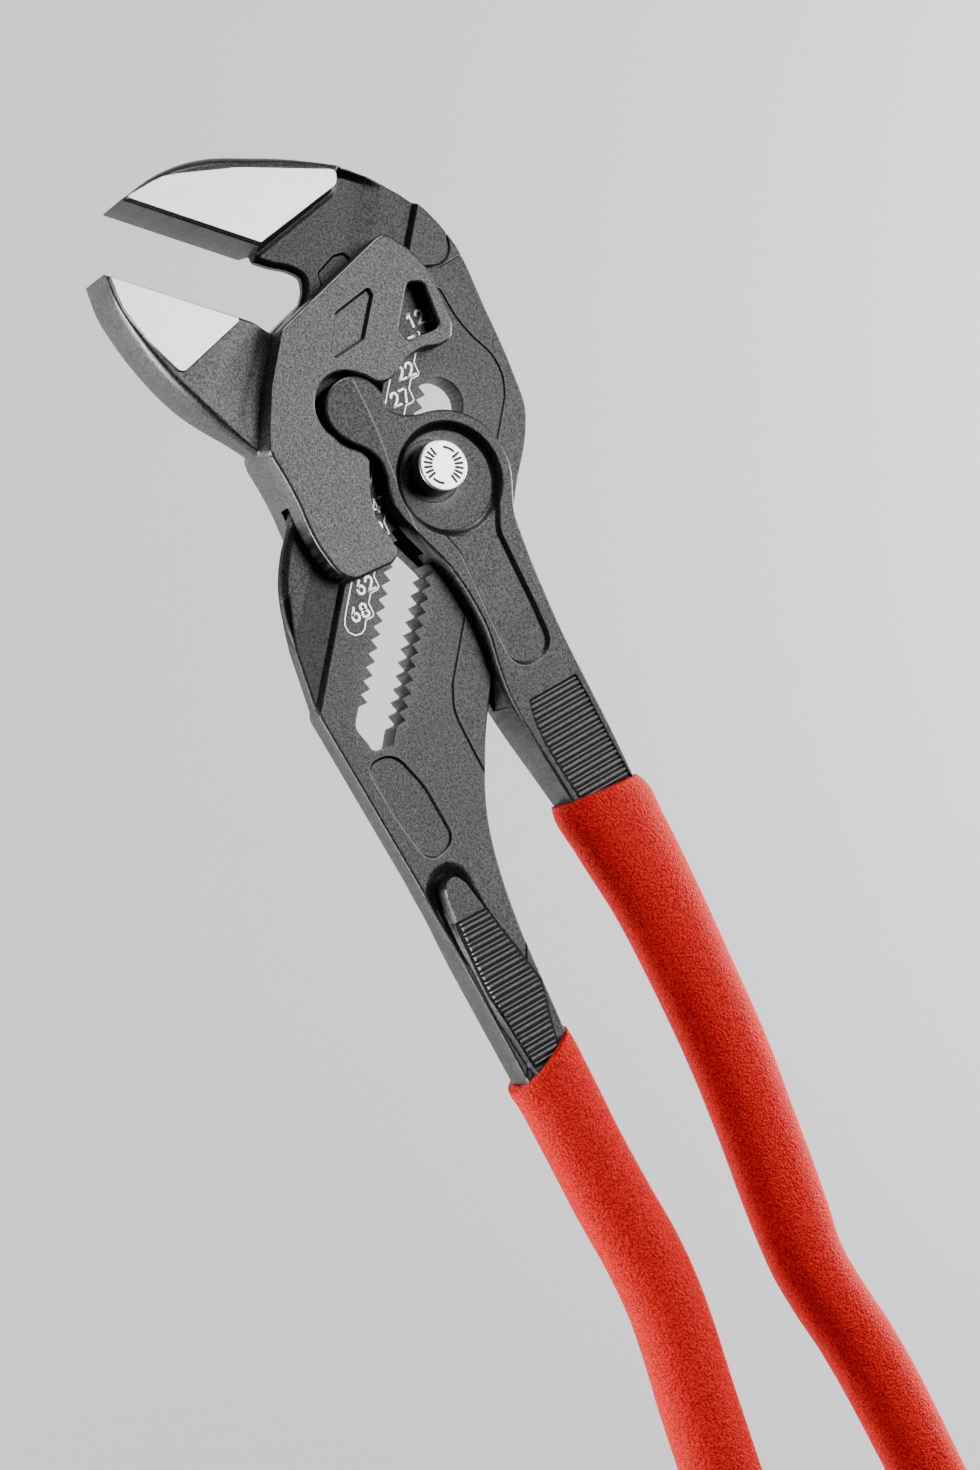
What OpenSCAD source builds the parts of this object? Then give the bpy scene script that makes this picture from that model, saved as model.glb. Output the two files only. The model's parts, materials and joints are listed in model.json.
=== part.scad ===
// Parallel-jaw tongue and groove pliers, lying on its back: +Z is the front, +X runs from the
// jaws to the handles, and the origin is the axis of the pivot bolt in the rear plane.

/* [Plates] */
// Overall thickness of the forked lever and of the sliding jaw
tool_t = 13; // [12:0.5:16]
// Thickness of each cheek and of each jaw plate over the web
cheek_t = 3.4; // [2.5:0.1:4]
// Running gap between the web and the plates that straddle it
face_gap = 0.1; // [0.05:0.05:0.3]
// Depth of the web's band below the small pad at its top
band_drop = 0.2; // [0.1:0.1:0.3]
// Depth of the machined field below that pad
field_drop = 0.4; // [0.4:0.1:0.8]
// Thickness of the thin blade beside the guide shoulder
blade_t = 3.2; // [2.4:0.2:4.2]
// Sideways gap between the guide shoulder and the jaw plates
guide_gap = 0.1; // [0.05:0.05:0.3]

/* [Jaws] */
// Gap between the jaw faces at rest
rest_gap = 14.4; // [10:0.4:18]
// Length of each jaw face
face_l = 26; // [20:1:27]
// Thickness of the fixed jaw
fixed_jaw_t = 9.8; // [8:0.2:12]
// Thickness of the sliding jaw
slide_jaw_t = 11.8; // [9:0.2:12.4]
// Height of the polished pads on the jaws
pad_h = 0.5; // [0.3:0.1:0.6]

/* [Toothed slot] */
// Pitch of the teeth along the slot
tooth_pitch = 2.57; // [2:0.01:3]
// Number of teeth on each side
tooth_n = 24; // [18:1:24]
// Clear width between the tooth tips
slot_w = 6.2; // [6:0.1:7]
// Depth of a tooth
tooth_h = 1.6; // [1:0.1:2]

/* [Pivot bolt] */
// Diameter of the bolt's journal in the front cheek
journal_d = 11.6; // [10.8:0.2:13]
// Diameter of the bolt's tail in the rear cheek
tail_d = 5.6; // [4:0.2:5.8]
// Radial running clearance of the bolt in the cheeks
bore_gap = 0.05; // [0.03:0.01:0.1]
// Gap on each side of the bolt's block in the slot
block_gap = 0.1; // [0.05:0.05:0.3]
// Length of the block along the slot
block_l = 9; // [7:0.5:12]
// Diameter of the rear cover
cover_d = 12.4; // [10:0.2:14]
// Thickness of the rear cover
cover_t = 1; // [0.8:0.1:1.6]

/* [Push button] */
// Diameter of the button
button_d = 9.7; // [8.6:0.1:10]
// Height of the button's face above the front of the lever
button_rise = 3.8; // [2.4:0.2:5]
// Travel of the button
button_travel = 1.6; // [0.8:0.1:1.6]
// Diameter of the spring wire
wire_d = 0.4; // [0.3:0.05:0.45]
// Turns of the spring
spring_turns = 7; // [5:1:9]

/* [Moving lever] */
// Radius of the nose that works the sliding jaw
nose_r = 6.1; // [5.4:0.1:6.4]
// Clearance round the nose in its socket
nose_gap = 0.3; // [0.25:0.05:0.5]
// Room for the nose to move sideways as the lever opens
nose_room = 1.6; // [1.4:0.1:2]
// Radius of the boss
boss_r = 12.9; // [12:0.1:14]
// Radius of the round recess in the boss
recess_r = 9.9; // [8:0.1:10.5]
// Depth of the round recess
recess_drop = 1.8; // [1:0.1:2.2]
// Depth of the long field on the arm
long_drop = 0.5; // [0.3:0.1:1]
// Slope of the arm's faces, so that it thins towards its grip
arm_slope = 3.9; // [2:0.1:4.5]
// Number of ribs on the arm
arm_ribs = 17; // [10:1:20]

/* [Fixed lever] */
// Thickness of the steel handle beside the ribbed pad
handle_t = 7.4; // [6.4:0.2:9]
// Height of the ribbed pad above the web
rib_pad_h = 2.2; // [1.4:0.1:3]
// Number of ribs on that pad
pad_ribs = 16; // [10:1:18]
// Depth of the ribs' grooves
groove_h = 0.5; // [0.3:0.1:0.8]
// Depth of the oval field
oval_drop = 0.4; // [0.2:0.1:0.8]
// Depth of the small recess in the neck
neck_drop = 0.4; // [0.2:0.1:0.6]

/* [Grips] */
// Thickness of the dipped grips
grip_t = 13; // [12:0.5:16]
// Thickness of the steel tangs inside the grips
tang_t = 7; // [5:0.5:9]

/* [Hidden] */
$fn = 64;

steel = [0.24, 0.25, 0.26];
bright = [0.85, 0.85, 0.86];
grip_red = [0.85, 0.12, 0.12];

// The slot runs down to the right; the jaw faces stand square to it.
slot_a = -38;
slide_x = cos(slot_a);
slide_y = sin(slot_a);
function along(s, w) = [s * slide_x - w * slide_y, s * slide_y + w * slide_x];

mid_z = tool_t / 2;
front_z = tool_t - cheek_t;
web_t = tool_t - 2 * cheek_t - 2 * face_gap;
band_t = web_t - 2 * band_drop;
field_t = web_t - 2 * field_drop;
big = 200;
cover_gap = 0.2;
cover_under = 0.3;

shoulder_w = -11.4;
lower_face_s = -16.5;
upper_face_s = lower_face_s - rest_gap;
face_in_w = -41.4;
tip_w = face_in_w - face_l;
pad_inset = 0.1;

boss_at = [2.6, 2.1];
nose_at = [-15.7, -9.5];
tooth_first_s = -15.6;
slot_top_s = -13.9;
slot_end_s = 49.6;
slot_mid_w = 0.15;
notch_half = slot_w / 2 + tooth_h;

// Smooth curve through points, its speed matched to the spacing
function slope(a, b, c) = let (p = norm(b - a), q = norm(c - b))
    ((b - a) / p * q + (c - b) / q * p) / (p + q);
function span(a, m, b, n, k) = [for (i = [0:k - 1]) let (t = i / k, d = norm(b - a))
    (2*t*t*t - 3*t*t + 1) * a + (t*t*t - 2*t*t + t) * d * m
    + (3*t*t - 2*t*t*t) * b + (t*t*t - t*t) * d * n];
function tangent(p, i) = let (n = len(p) - 1)
    i == 0 ? (p[1] - p[0]) / norm(p[1] - p[0])
    : i == n ? (p[n] - p[n - 1]) / norm(p[n] - p[n - 1])
    : slope(p[i - 1], p[i], p[i + 1]);
function curve(p, k = 4) = [for (i = [0:len(p) - 2])
    each span(p[i], tangent(p, i), p[i + 1], tangent(p, i + 1), k), p[len(p) - 1]];

// Polygon with a round of its own radius at each [x, y, r] corner
function flat2(p) = [p[0], p[1]];
function arc_at(p, q, s) = let (
    a = (p - flat2(q)) / norm(p - flat2(q)), b = (s - flat2(q)) / norm(s - flat2(q)),
    half = acos(a * b) / 2, r = q[2], mid = (a + b) / norm(a + b),
    c = flat2(q) + mid * r / sin(half), u = flat2(q) + a * r / tan(half) - c,
    turn = (a[0] * b[1] - a[1] * b[0]) > 0 ? -1 : 1, sweep = turn * (180 - 2 * half),
    k = max(2, ceil(abs(sweep) / 15)))
    [for (i = [0:k]) let (t = sweep * i / k)
        c + [u[0] * cos(t) - u[1] * sin(t), u[0] * sin(t) + u[1] * cos(t)]];
function rounded(p) = [for (i = [0:len(p) - 1]) let (n = len(p), q = p[i])
    each q[2] == 0 ? [flat2(q)]
        : arc_at(flat2(p[(i + n - 1) % n]), q, flat2(p[(i + 1) % n]))];

module slab(z0, z1) { translate([0, 0, z0]) linear_extrude(z1 - z0) children(); }
module centred(t) { slab(mid_z - t / 2, mid_z + t / 2) children(); }
module in_slot() { rotate(slot_a) children(); }

// ---- Fixed lever ----

jaw_back = curve([along(upper_face_s, tip_w), [-68.0, -25], [-68.1, -16.5], [-65.2, -6.5],
                  [-60.8, 3.8], [-54.8, 13.7], [-46.8, 21.2], [-36.7, 25.2], [-24, 25.6],
                  [-10, 25.5], [-3.6, 24.8], [1.5, 22.2], [8, 17]]);
lever_right = curve([[42.1, -7], [48.1, -10.9], [54.3, -14.2], [62, -17.4], [72, -19.7],
                     [84, -21.05], [97, -21.5]]);
blade_left = concat([[32.2, -39.6]],
                    curve([[18.6, -37.6], [14.2, -36.6], [8, -34.6], [2.6, -31.5], along(17, -23.6)]),
                    [along(0, -23.6), along(-13, -33), along(-17.5, -33)]);
throat = curve([[-37.9, -6.9], [-39.6, -5.2], [-42, -4.9], [-44.2, -6.2], [-46.3, -9.8],
                [-48.4, -12.6]]);
handle_end = 112;
function handle_edge(x) = [x, -35.8 + (x - 66) * 0.078];
arm_end = 66.4;
throat_end = along(upper_face_s, face_in_w + 1.2);

module lever_outline() {
    polygon(concat(jaw_back, lever_right, [handle_edge(97), handle_edge(66)], blade_left,
                   throat, [throat_end]));
}

module right_of_shoulder() {
    in_slot() translate([-big, shoulder_w]) square([2 * big, big]);
}

module jaw_pad_outline() {
    polygon(rounded(concat(
        [concat(along(upper_face_s, tip_w + pad_inset), 0.3), [-67.4, -25, 12], [-64.3, -11, 30],
         [-57.2, 7.6, 1.6], [-54.6, 6.2, 1.6]],
        [concat(along(upper_face_s, face_in_w + 0.8), 0.4)])));
}

// The thick jaw ends on a line beside the pad, so the sliding plate can pass over the neck.
module jaw_end() {
    polygon([along(upper_face_s, tip_w - 5), [-90, -60], [-90, 30], [-62, 30], [-53.4, 6.4],
             along(upper_face_s, face_in_w + 1.2)]);
}

module band_outline() {
    difference() {
        intersection() { lever_outline(); right_of_shoulder(); }
        in_slot() polygon(concat([[-29.6, shoulder_w]],
            curve([[-29.6, -1], [-28.3, 4], [-26, 8.6], [-22.8, 11.4], [-19, 12.7]]),
            curve([[37, 12.6], [41.6, 13.9], [46, 17.3], [51.4, 22.1]]), [[62, 32], [big, 60],
            [big, shoulder_w]]));
    }
}

module top_pad_outline() {
    intersection() {
        lever_outline();
        in_slot() polygon(rounded([[-49, shoulder_w, 0], [-60, 0, 0], [-44, 0, 0], [-39, -5, 2],
                                   [-37.4, shoulder_w, 0]]));
    }
}

module slot_outline() {
    in_slot() {
        translate([slot_top_s, slot_mid_w - slot_w / 2])
            square([slot_end_s - slot_top_s, slot_w]);
        translate([slot_top_s, slot_mid_w]) circle(notch_half);
        for (i = [0:tooth_n - 1]) translate([tooth_first_s + i * tooth_pitch, slot_mid_w]) {
            polygon([[-tooth_pitch * 0.56, -slot_w / 2], [0, -notch_half],
                     [tooth_pitch * 0.44, -slot_w / 2]]);
            translate([tooth_pitch, 0]) polygon([[-tooth_pitch * 0.45, slot_w / 2],
                     [0, notch_half], [tooth_pitch * 0.55, slot_w / 2]]);
        }
        translate([slot_end_s - 3, slot_mid_w]) polygon(rounded([[-1.6, -slot_w / 2, 0],
            [-0.8, -notch_half, 0.6], [3.2, -notch_half, 2.4], [5.4, -1.5, 0.4],
            [6.2, -0.8, 0.4], [6.2, 0.6, 0.4], [4.4, slot_w / 2, 0.4], [0, slot_w / 2, 0]]));
    }
}

module neck_recess_outline() {
    polygon(rounded([[-38, -3.1, 0.8], [-41.3, -2.7, 0.8], [-43.2, 1.6, 1], [-43, 3.8, 0.8],
                     [-41.2, 4.6, 0.8], [-37, 3, 1]]));
}

module oval_outline() {
    polygon(rounded([[43.3, -35.9, 2.2], [43.6, -28.1, 3], [63.2, -24.8, 2.4],
                     [63.7, -31.7, 2]]));
}

module rib_pad_outline() {
    polygon(rounded([[69, -33.6, 2.4], [67, -30.2, 2], [70.2, -27.9, 3], [81, -25.5, 12],
                     [90.5, -22.3, 1], [104, -25.2, 0], [104, -31.8, 0], [84, -32.6, 30]]));
}

tang_x = 150;
module fixed_tang_outline() {
    polygon([[103, -22.4], [141, -20.6], [tang_x, -20.2], [tang_x, -27.8], [141, -28.8],
             [103, -31.9]]);
}

// Thicker steel of the handle, from the pad down into the grip
module handle_outline() {
    polygon(concat([handle_edge(66)], curve([[66, -29], [71, -22.6], [80, -21], [90, -21.05],
        [handle_end, -21.6]]), [handle_edge(handle_end)]));
}

groove_share = 0.44;
module groove_row(x0, x1, n, depth, turn) {
    for (i = [0:n - 1]) translate([x0 + (x1 - x0) * i / (n - 1), 0, 0])
        rotate(turn) translate([-(x1 - x0) / (n - 1) * groove_share / 2, -big, -depth])
            cube([(x1 - x0) / (n - 1) * groove_share, 2 * big, big]);
}

module front_and_rear() {
    children();
    translate([0, 0, tool_t]) mirror([0, 0, 1]) children();
}

module fixed_lever() {
    color(steel) difference() {
        union() {
            centred(blade_t) lever_outline();
            centred(field_t) intersection() { lever_outline(); right_of_shoulder(); }
            centred(band_t) band_outline();
            centred(web_t) top_pad_outline();
            centred(fixed_jaw_t) intersection() { lever_outline(); jaw_end(); }
            centred(fixed_jaw_t + 2 * pad_h) jaw_pad_outline();
            centred(handle_t) handle_outline();
            centred(tang_t) fixed_tang_outline();
            difference() {
                centred(field_t + 2 * rib_pad_h) rib_pad_outline();
                front_and_rear() translate([0, -29, mid_z + field_t / 2 + rib_pad_h])
                    groove_row(76, 103, pad_ribs, groove_h, -3);
            }
        }
        slab(-1, tool_t + 1) slot_outline();
        front_and_rear() {
            slab(mid_z + field_t / 2 - oval_drop, tool_t) oval_outline();
            slab(mid_z + blade_t / 2 - neck_drop, tool_t) neck_recess_outline();
        }
    }
}

// ---- Sliding jaw ----

jaw_lower = curve([along(lower_face_s, tip_w - 0.3), [-49.2, -43.7], [-43.6, -43], [-37.6, -41.6],
                   [-31.6, -39.5], [-24.9, -36], [-19.5, -32.4], [-14.2, -28.9]]);
plate_low = curve([[-14.2, -28.9], [-9, -28.2], [-4, -27.9], [0.8, -28], [6, -27.4], [11, -25.5],
                   [12.4, -23.6]]);
plate_mouth = curve([[12.4, -15.6], [11.4, -13.9], [7.6, -13.5]], 3);
plate_lobe = curve([[7.6, -14.6], [3.4, -14.8], [-0.7, -13.7], [-4.2, -12.1], [-6.4, -11.3],
                    [-8.2, -12], [-10, -14.2], [-12.2, -16.6]]);
plate_neck = curve([[-20.1, -4.9], [-18.6, -3.4], [-18.1, -1.4], [-18.7, 0.8], [-19.9, 3],
                    [-20.8, 5.6], [-21, 8.4], [-20.4, 11.6], [-20.9, 14.4], [-23.2, 15.9]]);
plate_top = curve([[-30, 16], [-33.8, 15.9], [-37.4, 14.7], [-41, 12.4], [-43, 10.4],
                   [-43, 8.6]], 3);
cavity_w = -34.2;
blade_w = -24.7;
plate_corner = along(lower_face_s, cavity_w);

module plate_outline() {
    difference() {
        polygon(concat(plate_top, [plate_corner], plate_low, plate_mouth, plate_lobe, plate_neck));
        nose_socket();
    }
}

module nose_socket() {
    nose_s = nose_at * [slide_x, slide_y];
    nose_w = nose_at * [-slide_y, slide_x];
    in_slot() for (w = [nose_w - nose_room, nose_w + 0.3])
        translate([nose_s, w]) circle(nose_r + nose_gap);
    in_slot() translate([nose_s - nose_r - nose_gap, nose_w - nose_room])
        square([2 * (nose_r + nose_gap), nose_room + 0.3]);
}

module lower_jaw_outline() {
    polygon(concat(jaw_lower, [[-14.2, -24], along(lower_face_s, -33.4)]));
}

module lower_pad_outline() {
    polygon(rounded([concat(along(lower_face_s, tip_w + pad_inset), 0.3), [-48, -43.3, 20],
                     [-40.6, -41.2, 12], [-33.1, -37.9, 1.4],
                     concat(along(lower_face_s, face_in_w), 0.6)]));
}

// Room between the plates for the fixed lever, over the whole travel
module jaw_cavity_outline() {
    in_slot() polygon([[-big, cavity_w], [-1, cavity_w], [13, blade_w], [big, blade_w],
                       [big, big], [-big, big]]);
}

module sliding_jaw() {
    color(steel) difference() {
        union() {
            slab(0, tool_t) plate_outline();
            centred(slide_jaw_t) lower_jaw_outline();
            centred(slide_jaw_t + 2 * pad_h) lower_pad_outline();
        }
        centred(blade_t + 2 * face_gap) jaw_cavity_outline();
        centred(web_t + 2 * face_gap) in_slot()
            translate([-big, shoulder_w - guide_gap]) square([2 * big, big]);
        front_and_rear() {
            slab(tool_t - 0.9, tool_t + 1) polygon(rounded([[-35, 2.9, 0.6], [-33.6, 3, 0.6],
                [-26.8, -2.4, 0.8], [-25.6, -9.3, 0.8], [-26.8, -9.4, 0.6], [-33, -5.4, 1]]));
            slab(tool_t - cheek_t - 2, tool_t + 1) polygon(rounded([[-33.1, 10.8, 0.9],
                [-32.1, 13.5, 0.9], [-24, 13.1, 0.9], [-23.4, 12, 0.8], [-23.6, 5.8, 0.9],
                [-26.2, 5.3, 0.9]]));
        }
    }
}

// ---- Moving lever ----

arm_bend_x = 30;
arm_top = curve([[8.2, 13.7], [13, 11.5], [19, 10.9], [30, 10.8], [45, 11.1], [54, 11.5],
                 [arm_end, 12.5]]);
arm_left = curve([[arm_end, -0.8], [58.5, -2.4], [50.6, -3.9], [43.5, -4.8], [38, -4.7],
                  [31, -4], [24, -4.4], [17.5, -5.7], [10, -8.8], [6.4, -10.1], [3, -10.8]]);
neck_low = curve([[0, -10.3], [-2.8, -9.4], [-5.4, -9.6], [-8.1, -10.9], [-10.2, -13], [-12.6, -14.8]]);
neck_high = curve([[-15.2, -4.6], [-12.5, -2.7], [-10.8, 0.2], [-10.1, 3]]);

module cheek_outline() {
    translate(boss_at) circle(boss_r, $fn = 128);
    translate(nose_at) circle(nose_r);
    polygon(concat(arm_top, arm_left, neck_low, [nose_at], neck_high));
}

module arm_outline() {
    intersection() {
        cheek_outline();
        polygon([along(10.5, 23), along(33, 23.1), along(38.2, 24.4), [47, -8], [90, -20],
                 [90, 30], [20, 30]]);
    }
}

module moving_tang_outline() {
    polygon([[66, 0.6], [106, 4], [141, 3.6], [tang_x, 3.2], [tang_x, 11.8], [141, 12.8],
             [106, 14], [66, 10.6]]);
}

// Frame whose z = 0 is the sloping face of the arm
module on_arm() {
    translate([arm_bend_x, 0, tool_t]) rotate([0, arm_slope, 0]) translate([-arm_bend_x, 0, 0])
        children();
}

module recess_outline() {
    translate(boss_at) circle(recess_r, $fn = 96);
}

module long_field_outline() {
    polygon(rounded([[4, -4, 0], [11, -3.4, 3], [16, -1.8, 8], [30, -1.9, 20], [39.4, -1, 3.2],
                     [39.4, 6.9, 3.2], [30, 7.2, 20], [15, 6.9, 4], [9.4, 9.6, 0], [4, 9, 0]]));
}

module moving_lever() {
    color(steel) difference() {
        union() {
            slab(0, cheek_t) cheek_outline();
            slab(front_z, tool_t) cheek_outline();
            slab(0, tool_t) arm_outline();
            centred(tang_t) moving_tang_outline();
        }
        slab(front_z - 1, tool_t + 1) circle(d = journal_d + 2 * bore_gap);
        slab(-1, cheek_t + 1) circle(d = tail_d + 2 * bore_gap);
        slab(-1, cover_t + cover_under) circle(d = cover_d + 2 * cover_gap);
        slab(tool_t - recess_drop, tool_t + 1) recess_outline();
        slab(tool_t - long_drop, tool_t + 1) long_field_outline();
        on_arm() slab(-long_drop, long_drop) long_field_outline();
        front_and_rear() on_arm() {
            slab(0, tool_t) translate([arm_bend_x, -20]) square([arm_end - arm_bend_x, 50]);
            translate([0, 4, 0]) groove_row(46, 66.5, arm_ribs, groove_h, 1.5);
        }
    }
}

// ---- Bolt and button ----

floor_z = tool_t - recess_drop;
slip = 0.1;
cup_z = front_z + 0.6;
block_low = mid_z - web_t / 2 + slip;
post_d = button_d - 2.9;
post_top = tool_t;
button_top = tool_t + button_rise;
button_low = cup_z + slip + button_travel;
head_t = 1.4;
lip_t = 0.45;
ring_z = button_low + lip_t + slip / 2;
ring_t = 0.4;
ring_in_d = post_d - 0.8;
ring_out_d = post_d + 0.8;
spring_bore_d = 3.4;
seat_z = block_low + 0.5;
seat_t = 0.3;
stem_d = 1.6;
stem_room = 0.5;

module ring_slab(z0, z1, d_out, d_in) {
    slab(z0, z1) difference() { circle(d = d_out); circle(d = d_in); }
}

module pivot_bolt() {
    color(bright) difference() {
        union() {
            slab(front_z, floor_z) circle(d = journal_d);
            slab(front_z, post_top) circle(d = post_d);
            slab(block_low, cup_z) in_slot()
                translate([-block_l / 2, slot_mid_w - slot_w / 2 + block_gap])
                    square([block_l, slot_w - 2 * block_gap]);
            slab(cover_t, seat_z) circle(d = tail_d);
        }
        ring_slab(cup_z, post_top + 1, button_d + 2 * slip, post_d);
        ring_slab(ring_z, ring_z + ring_t, post_d + 1, ring_in_d);
        slab(seat_z, post_top + 1) circle(d = spring_bore_d);
    }
}

module push_button() {
    color("white") {
        slab(button_top - head_t, button_top) circle(d = button_d);
        ring_slab(button_low + lip_t, button_top - head_t, button_d, ring_out_d + 2 * slip);
        ring_slab(button_low, button_low + lip_t, button_d, post_d + slip);
        slab(seat_z + seat_t + button_travel + stem_room, button_top - head_t)
            circle(d = stem_d);
    }
}

spring_low = seat_z + seat_t + (wire_d + slip) / 2;
spring_high = button_top - head_t - (wire_d + slip) / 2;
spring_r = spring_bore_d / 2 - slip - wire_d / 2;
turn_steps = 14;
wire_sides = 6;

function coil_point(i) = let (t = i / turn_steps, a = 360 * t)
    [spring_r * cos(a), spring_r * sin(a), spring_low + (spring_high - spring_low) * t / spring_turns];
function coil_ring(i) = let (a = 360 * i / turn_steps)
    [for (k = [0:wire_sides - 1]) let (b = 360 * k / wire_sides)
        coil_point(i) + wire_d / 2 * [cos(b) * cos(a), cos(b) * sin(a), sin(b)]];
// Faces of a tube of rings with n points each, and its two ends
function strip(rings, n) = [for (i = [0:rings - 2]) for (k = [0:n - 1])
    let (a = i * n + k, b = i * n + (k + 1) % n) each [[a, a + n, b], [b, a + n, b + n]]];
function caps(rings, n) = [[for (k = [0:n - 1]) k], [for (k = [n - 1:-1:0]) (rings - 1) * n + k]];

module button_spring() {
    rings = spring_turns * turn_steps + 1;
    color("silver") polyhedron([for (i = [0:rings - 1]) each coil_ring(i)],
        concat(strip(rings, wire_sides), caps(rings, wire_sides)));
}

module spring_seat() {
    color("silver") ring_slab(seat_z, seat_z + seat_t, spring_bore_d - slip, stem_d + 2 * slip);
}

module retaining_ring() {
    color("silver") difference() {
        ring_slab(ring_z, ring_z + ring_t, ring_out_d, ring_in_d);
        rotate(150) slab(ring_z - 1, ring_z + 1) translate([0, -0.5]) square([10, 1]);
    }
}

module bolt_cover() {
    color(steel) slab(0, cover_t) circle(d = cover_d);
}

// ---- Grips ----

// Each station is [x, left y, right y, slant of the ring]
fixed_stations = [[104.6, -34.35, -20.05, -0.3], [106.2, -34.45, -19.75, -0.25], [112, -34.05, -19.35, -0.1],
    [124, -33.25, -18.85, 0], [136, -32.55, -17.85, 0], [147, -31.55, -16.75, 0], [156, -31.35, -16.75, 0],
    [165, -32.25, -17.55, 0], [175, -33.75, -18.85, 0], [187, -35.15, -20.25, 0], [200, -36.25, -21.75, 0],
    [212, -37.15, -23.05, 0], [218, -36.95, -24.05, 0], [221.5, -34.55, -26.85, 0]];
moving_stations = [[66.6, -2.75, 14.95, 0.06], [68.2, -3.15, 15.95, 0.05], [76, -2.05, 16.75, 0],
    [90, 0.15, 17.25, 0], [106, 1.15, 17.35, 0], [124, 1.35, 17.25, 0], [138, 0.65, 16.15, 0],
    [148, -0.15, 15.45, 0], [157, -0.65, 14.55, 0], [164, -0.65, 13.65, 0], [172, 0.25, 14.45, 0],
    [182, 2.05, 16.25, 0], [193, 3.25, 17.45, 0], [206, 4.15, 18.05, 0], [218, 4.85, 18.35, 0],
    [227, 5.85, 17.75, 0], [231.6, 8.85, 14.75, 0]];
grip_sides = 24;
grip_square = 0.9;
function power(v, e) = sign(v) * pow(abs(v), e);
function grip_ring(st, t) = let (yc = (st[1] + st[2]) / 2, a = (st[2] - st[1]) / 2)
    [for (k = [0:grip_sides - 1]) let (b = 360 * (k + 0.5) / grip_sides,
        y = a * power(cos(b), grip_square), z = t / 2 * power(sin(b), grip_square))
        [st[0] + st[3] * y, yc + y, mid_z + z]];

module grip_shell(stations) {
    n = len(stations);
    polyhedron([for (i = [0:n - 1]) let (st = stations[i])
            each grip_ring(st, i == n - 1 ? grip_t * 0.55 : i == n - 2 ? grip_t * 0.9 : grip_t)],
        concat(strip(n, grip_sides), caps(n, grip_sides)));
}

module fixed_grip() {
    color(grip_red) difference() {
        grip_shell(fixed_stations);
        centred(handle_t) handle_outline();
        centred(field_t + 2 * rib_pad_h) rib_pad_outline();
        centred(tang_t) fixed_tang_outline();
    }
}

module moving_grip() {
    color(grip_red) difference() {
        grip_shell(moving_stations);
        slab(-1, tool_t + 1) translate([0, -big / 2]) square([arm_end, big]);
        centred(tang_t) moving_tang_outline();
    }
}

fixed_lever();
sliding_jaw();
moving_lever();
pivot_bolt();
push_button();
button_spring();
spring_seat();
retaining_ring();
bolt_cover();
fixed_grip();
moving_grip();
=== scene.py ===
import json
import math

import bmesh
import bpy
import numpy as np
from mathutils import Matrix, Vector
from mathutils.bvhtree import BVHTree
from mathutils.geometry import delaunay_2d_cdt

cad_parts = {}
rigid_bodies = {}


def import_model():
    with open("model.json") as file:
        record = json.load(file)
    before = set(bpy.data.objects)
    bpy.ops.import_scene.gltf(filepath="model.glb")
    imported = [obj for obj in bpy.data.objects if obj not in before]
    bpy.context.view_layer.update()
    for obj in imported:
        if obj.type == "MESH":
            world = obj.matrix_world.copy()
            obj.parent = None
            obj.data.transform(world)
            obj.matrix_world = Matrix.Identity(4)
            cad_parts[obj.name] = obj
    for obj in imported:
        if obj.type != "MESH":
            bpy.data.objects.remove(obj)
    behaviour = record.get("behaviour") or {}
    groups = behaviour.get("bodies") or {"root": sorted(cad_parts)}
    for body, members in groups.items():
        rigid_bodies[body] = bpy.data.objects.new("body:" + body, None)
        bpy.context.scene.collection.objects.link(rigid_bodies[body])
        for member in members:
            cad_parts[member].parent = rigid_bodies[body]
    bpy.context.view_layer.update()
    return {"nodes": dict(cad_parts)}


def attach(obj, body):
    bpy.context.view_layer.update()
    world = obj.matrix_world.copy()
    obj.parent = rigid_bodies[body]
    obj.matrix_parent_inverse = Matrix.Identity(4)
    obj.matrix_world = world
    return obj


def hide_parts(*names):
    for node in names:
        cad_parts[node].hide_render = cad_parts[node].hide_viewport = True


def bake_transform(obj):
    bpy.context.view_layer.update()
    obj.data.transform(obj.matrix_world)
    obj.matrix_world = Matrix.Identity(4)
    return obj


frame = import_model()
scene = bpy.context.scene
print("frame loaded:", len(frame["nodes"]), "solids")

# Lengths are in millimetres until a mesh is made; the slot frame runs down to the right
mm = 0.001
slotAngle = math.radians(-38)
slotX, slotY = math.cos(slotAngle), math.sin(slotAngle)
midZ = 6.5

# What the photograph fixes: its size, the camera, and where named things show in it
picture = {"width": 980, "height": 1470, "longSide": 1470}
cameraSet = {"place": (0.00675, -0.26555, 0.5215), "forward": (0.0725, 0.4449, -0.8926),
             "up": (-0.9089, 0.3980, 0.1245), "lens": 76.73, "sensor": 36.0,
             "shiftX": 0.0, "shiftY": 0.0}
imagePoints = {
    "leftEdge": (86, None), "topEdge": (None, 155),
    "upperTip": (101, 215), "lowerTip": (86, 289),
    "buttonMiddle": (443.8, 465.0),
    "scaleFirst": (414.8, 318.7), "scaleLast": (359.6, 612.5),
    "fixedGripLeft": (509, None), "movingGripLeft": (552.2, None),
}


def addObject(name, data):
    added = bpy.data.objects.new(name, data)
    scene.collection.objects.link(added)
    return added


def faceOutward(mesh, *others):
    # turns the faces of a mesh outward, after it has taken in any others
    work = bmesh.new()
    for part in (mesh, *others):
        work.from_mesh(part)
    bmesh.ops.recalc_face_normals(work, faces=work.faces)
    work.to_mesh(mesh)
    work.free()


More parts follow.
